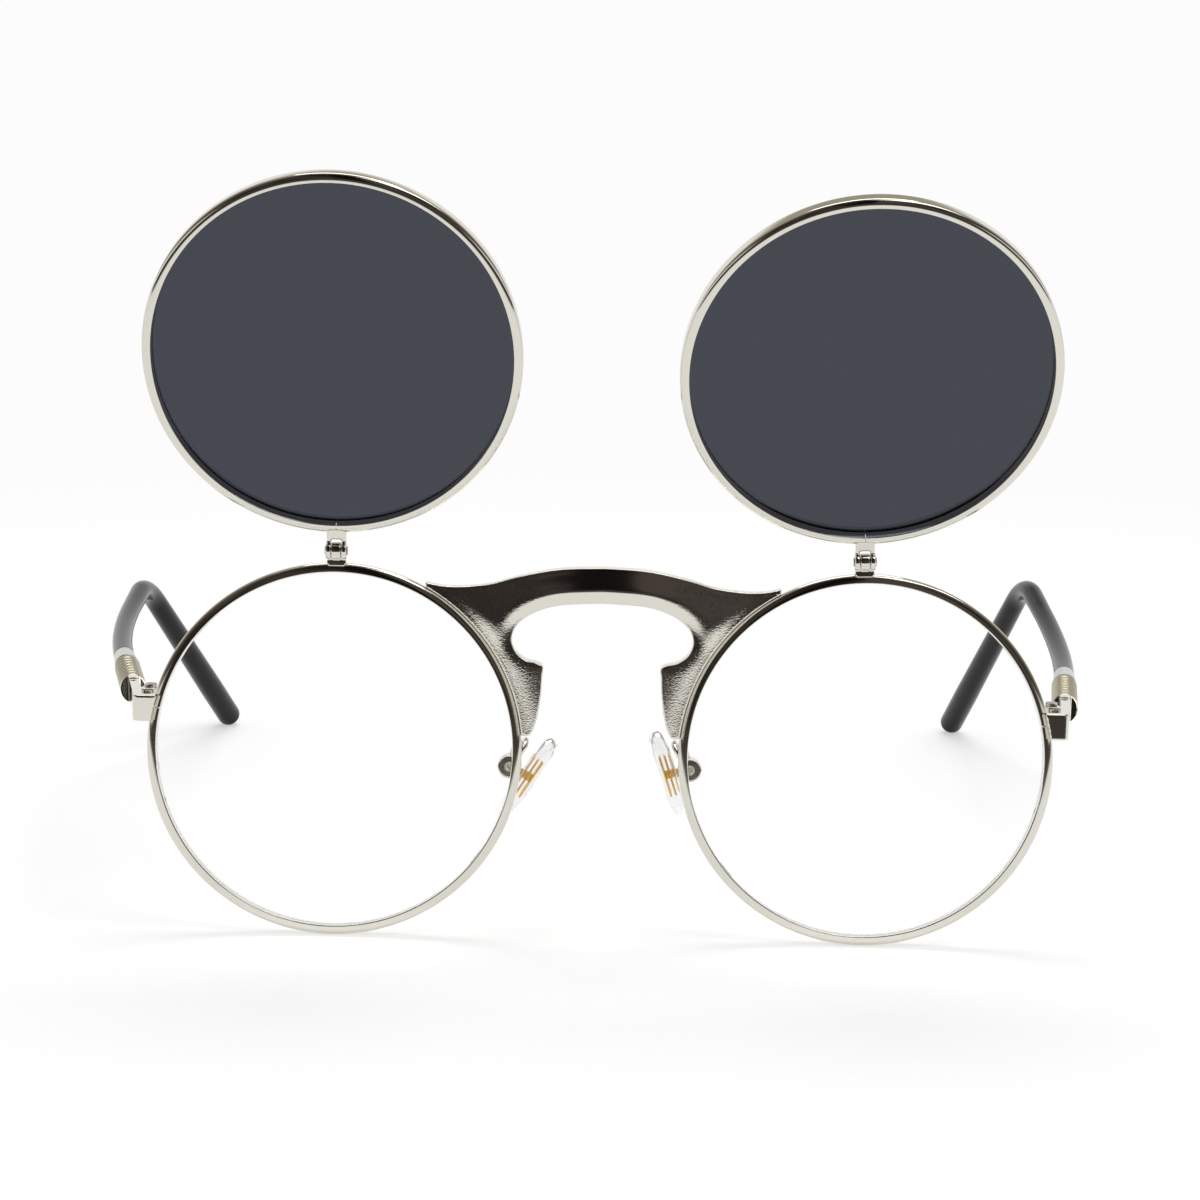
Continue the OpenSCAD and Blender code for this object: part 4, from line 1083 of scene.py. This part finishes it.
def pad_shape():
    """A soft drop: thickest in the middle, drawn in to a thin rounded edge. Each layer has
    its share of the depth, from the back, and its size."""
    layers = [(0, 0.80), (0.05, 0.88), (0.16, 0.95), (0.34, 1), (0.6, 1), (0.8, 0.94)]
    layers += [(0.91, 0.83), (0.97, 0.7), (1, 0.5), (1, 0.2)]
    count, last = PAD_SIDES, (len(layers) - 1) * PAD_SIDES

    def squared(value):
        return math.copysign(abs(value) ** PAD_SQUARENESS, value)

    points = []
    for share, size in layers:
        for k in range(count):
            angle = 2 * math.pi * k / count
            y = size * PAD_W / 2 * squared(math.cos(angle))
            z = size * PAD_L / 2 * squared(math.sin(angle))
            points.append((PAD_BACK - PAD_T * share, y, z))
    faces = []
    for low in range(0, last, count):
        for k in range(count):
            n = (k + 1) % count
            faces.append((low + k, low + n, low + count + n, low + count + k))
    faces.append(tuple(range(count)))
    faces.append(tuple(reversed(range(last, last + count))))
    mesh = bpy.data.meshes.new("pad_mesh")
    mesh.from_pydata(points, [], faces)
    smooth_by_angle(mesh, 60)
    return mesh


def make_pads():
    for side, word in SIDES:
        mesh = pad_shape()
        mesh.transform(at_pad(side))
        add_piece(f"{word}_soft_pad", mesh, f"{word}_pad", SILICONE)
        dressed(f"{word}_pad_insert", GILT, 0.08 * MM)
        dressed(f"{word}_pad_screw", STEEL, 0.05 * MM)


# Small metal pieces, lenses


def lean_face(mesh):
    """Leans the front face of a block back by a few degrees and leaves its rear in place."""
    points = np.array([v.co for v in mesh.vertices])
    front, bottom = points[:, 1].min(), points[:, 2].min()
    near = 1 - soft_step((points[:, 1] - front) / END_LEAN_DEPTH)
    points[:, 1] += END_LEAN * near * (points[:, 2] - bottom)
    mesh.vertices.foreach_set("co", points.ravel())
    mesh.update()


def make_fittings():
    """Rounded steel pieces with the rounds of easing for each, then blocks and screws."""
    for side, word in SIDES:
        for part, place, rounds in (
            ("end_piece", in_front(side), 36),
            ("flip_base", round_lens(side), 20),
            ("flip_bracket", in_flip(side), 36),
            ("temple_ferrule", at_temple(side), 14),
            ("pad_arm", in_front(side), 14),
        ):
            node = f"{word}_{part}"
            mesh = softened(node, place, rounds)
            if node == "left_end_piece":
                lean_face(mesh)
            add_piece(f"{node}_finished", mesh, node, NICKEL)
        dressed(f"{word}_closing_block", NICKEL, 0.08 * MM)
        dressed(f"{word}_closing_screw", STEEL, 0.05 * MM)
        dressed(f"{word}_hinge_screw", STEEL, 0.06 * MM)
        dressed(f"{word}_flip_pin", STEEL, 0.05 * MM)


def finish_lenses():
    for _, word in SIDES:
        for node, material in ((f"{word}_lens", CLEAR), (f"{word}_flip_lens", TINT)):
            lens = frame["nodes"][node]
            lens.data.materials.clear()
            lens.data.materials.append(material)


# Studio


WALL_WHITE = (0.975, 0.975, 0.975)
ROOM_DARK = (0.014, 0.012, 0.012)
ROOM_BROWN = (0.08, 0.066, 0.062)
CAMERA_DARK = (0.006, 0.005, 0.005)
FLOOR_END = (0.06, 0.05, 0.046)
CEILING_FRONT = (0.06, 0.05, 0.044)
CEILING_BACK = (0.42, 0.39, 0.33)
ROOM_LIGHT = 0.35

FLOOR_REACH = 6.0
FLOOR_GLOW = 0.5
FLOOR_FADE = (0.22, 0.5)
FLOOR_FRONT = (-0.26, -0.34)

# Where the parts of the room begin and are full, as shares of a direction's length

FRONT_Y = (-0.35, -0.6)
RAISED_Z = (0.1, 0.2)
WALL_Y = (0.55, 0.35)
ABOVE_Z = (0.42, 0.6)
CEILING_Y = (-0.6, 0.15)
ROOM_X = (0.7, 0.5)
CAMERA_X = (0.1, 0.06)
PATCH_FADE = (0.4, 0.6)


def either(nodes, links, *values):
    """The greatest of several shares."""
    result = values[0]
    for value in values[1:]:
        result = maths(nodes, links, "MAXIMUM", result, value)
    return result


def seen_directly(nodes, links):
    """One where the camera, a reflection or a look through glass meets the surface."""
    path = nodes.new("ShaderNodeLightPath").outputs
    kinds = ("Is Camera Ray", "Is Glossy Ray", "Is Transmission Ray")
    return either(nodes, links, *(path[kind] for kind in kinds))


def make_floor():
    """White where it is seen, with the shadows kept; in reflections it ends in front."""
    material, nodes, links, surface = new_material("pale_floor")
    set_inputs(surface, Base_Color=(0.8, 0.8, 0.8, 1), Roughness=0.9)
    surface.inputs["Specular IOR Level"].default_value = 0.0
    split = nodes.new("ShaderNodeSeparateXYZ")
    place = object_vector(nodes)
    links.new(place, split.inputs["Vector"])
    glow = nodes.new("ShaderNodeEmission")
    glow.inputs["Color"].default_value = (1, 1, 1, 1)
    glow.inputs["Strength"].default_value = FLOOR_GLOW
    both = nodes.new("ShaderNodeAddShader")
    links.new(surface.outputs["BSDF"], both.inputs[0])
    links.new(glow.outputs["Emission"], both.inputs[1])
    white = nodes.new("ShaderNodeEmission")
    white.inputs["Color"].default_value = (*WALL_WHITE, 1)
    length = nodes.new("ShaderNodeVectorMath")
    length.operation = "LENGTH"
    links.new(place, length.inputs[0])
    far = ramp(nodes, links, length.outputs["Value"], *FLOOR_FADE)
    away = nodes.new("ShaderNodeMixShader")
    links.new(far, away.inputs["Fac"])
    links.new(both.outputs["Shader"], away.inputs[1])
    links.new(white.outputs["Emission"], away.inputs[2])
    room = nodes.new("ShaderNodeEmission")
    room.inputs["Color"].default_value = (*FLOOR_END, 1)
    path = nodes.new("ShaderNodeLightPath")
    ahead = ramp(nodes, links, split.outputs["Y"], *FLOOR_FRONT)
    dark = maths(nodes, links, "MULTIPLY", ahead, path.outputs["Is Glossy Ray"])
    ended = nodes.new("ShaderNodeMixShader")
    links.new(dark, ended.inputs["Fac"])
    links.new(away.outputs["Shader"], ended.inputs[1])
    links.new(room.outputs["Emission"], ended.inputs[2])
    pick = nodes.new("ShaderNodeMixShader")
    links.new(seen_directly(nodes, links), pick.inputs["Fac"])
    links.new(surface.outputs["BSDF"], pick.inputs[1])
    links.new(ended.outputs["Shader"], pick.inputs[2])
    links.new(pick.outputs["Shader"], nodes["Material Output"].inputs["Surface"])
    mesh = bpy.data.meshes.new("floor_mesh")
    signs = ((-1, -1), (1, -1), (1, 1), (-1, 1))
    corners = [(x * FLOOR_REACH, y * FLOOR_REACH, 0) for x, y in signs]
    mesh.from_pydata(corners, [], [(0, 1, 2, 3)])
    mesh.materials.append(material)
    floor = bpy.data.objects.new("floor", mesh)
    bpy.context.scene.collection.objects.link(floor)


def make_world():
    """The studio: a white wall behind, a brown ceiling and sides, and a dark room in front."""
    world = bpy.data.worlds.new("studio")
    bpy.context.scene.world = world
    world.use_nodes = True
    nodes, links = world.node_tree.nodes, world.node_tree.links
    plain = nodes["Background"]
    plain.inputs["Color"].default_value = (1, 1, 1, 1)
    plain.inputs["Strength"].default_value = ROOM_LIGHT
    seen = nodes.new("ShaderNodeBackground")
    seen.inputs["Strength"].default_value = 1.0
    split = nodes.new("ShaderNodeSeparateXYZ")
    direction = nodes.new("ShaderNodeTexCoord").outputs["Generated"]
    links.new(direction, split.inputs["Vector"])
    x = maths(nodes, links, "ABSOLUTE", split.outputs["X"])
    y, z = split.outputs["Y"], split.outputs["Z"]
    front = ramp(nodes, links, y, *FRONT_Y)
    raised = ramp(nodes, links, z, *RAISED_Z)
    ahead_or_side = ramp(nodes, links, y, *WALL_Y)
    sides = maths(nodes, links, "MULTIPLY", raised, ahead_or_side)
    shaded = either(nodes, links, sides, ramp(nodes, links, z, *ABOVE_Z))
    patches = ramp(nodes, links, noise(nodes, links, direction, 3.0, 1.5), *PATCH_FADE)
    room = maths(nodes, links, "MULTIPLY", front, ramp(nodes, links, x, *ROOM_X))
    camera = maths(nodes, links, "MULTIPLY", front, ramp(nodes, links, x, *CAMERA_X))
    depths = blended(nodes, links, ROOM_DARK, ROOM_BROWN, patches)
    back = ramp(nodes, links, y, *CEILING_Y)
    ceiling = blended(nodes, links, CEILING_FRONT, CEILING_BACK, back)
    toned = blended(nodes, links, WALL_WHITE, ceiling, shaded)
    toned = blended(nodes, links, toned, depths, room)
    toned = blended(nodes, links, toned, CAMERA_DARK, camera)
    path = nodes.new("ShaderNodeLightPath").outputs
    straight = either(nodes, links, path["Is Camera Ray"], path["Is Transmission Ray"])
    links.new(blended(nodes, links, toned, WALL_WHITE, straight), seen.inputs["Color"])
    pick = nodes.new("ShaderNodeMixShader")
    links.new(seen_directly(nodes, links), pick.inputs["Fac"])
    links.new(plain.outputs["Background"], pick.inputs[1])
    links.new(seen.outputs["Background"], pick.inputs[2])
    links.new(pick.outputs["Shader"], nodes["World Output"].inputs["Surface"])


def add_lamp(name, place, target, size, watts):
    data = bpy.data.lights.new(name, "AREA")
    data.shape = "RECTANGLE"
    data.size, data.size_y = size
    data.energy = watts
    lamp = bpy.data.objects.new(name, data)
    lamp.location = place
    direction = Vector(target) - Vector(place)
    lamp.rotation_euler = direction.to_track_quat("-Z", "Y").to_euler()
    bpy.context.scene.collection.objects.link(lamp)


def make_lamps():
    target = (0, 0, 0.04)
    add_lamp("front_box", (0.32, -0.34, 0.8), target, (0.5, 0.34), 1.2)
    add_lamp("top_box", (0, 0.25, 0.9), target, (0.6, 0.3), 2.0)


CAMERA_PITCH = math.radians(10.35)
CAMERA_ROLL = math.radians(1.23)
CAMERA_PLACE = MIDDLE + Vector((-0.46, -383.95, 118.47)) * MM
CAMERA_LENS = 84.07


def make_camera():
    """The photograph's viewpoint, fitted to the four rims, the hinges and the temple tips."""
    ahead = Vector((0, math.cos(CAMERA_PITCH), -math.sin(CAMERA_PITCH)))
    up = Vector((0, math.sin(CAMERA_PITCH), math.cos(CAMERA_PITCH)))
    right = Vector((1, 0, 0))
    across = right * math.cos(CAMERA_ROLL) + up * math.sin(CAMERA_ROLL)
    upward = up * math.cos(CAMERA_ROLL) - right * math.sin(CAMERA_ROLL)
    data = bpy.data.cameras.new("camera")
    data.sensor_width = 36
    data.lens = CAMERA_LENS
    data.clip_start = 0.01
    camera = bpy.data.objects.new("camera", data)
    turned = Matrix((across, upward, -ahead)).transposed().to_4x4()
    camera.matrix_world = Matrix.Translation(CAMERA_PLACE) @ turned
    bpy.context.scene.collection.objects.link(camera)
    bpy.context.scene.camera = camera


make_camera()
make_rims()
make_bridge()
make_temples()
make_pads()
make_fittings()
finish_lenses()
make_floor()
make_world()
make_lamps()
bpy.context.scene.view_settings.view_transform = "Standard"
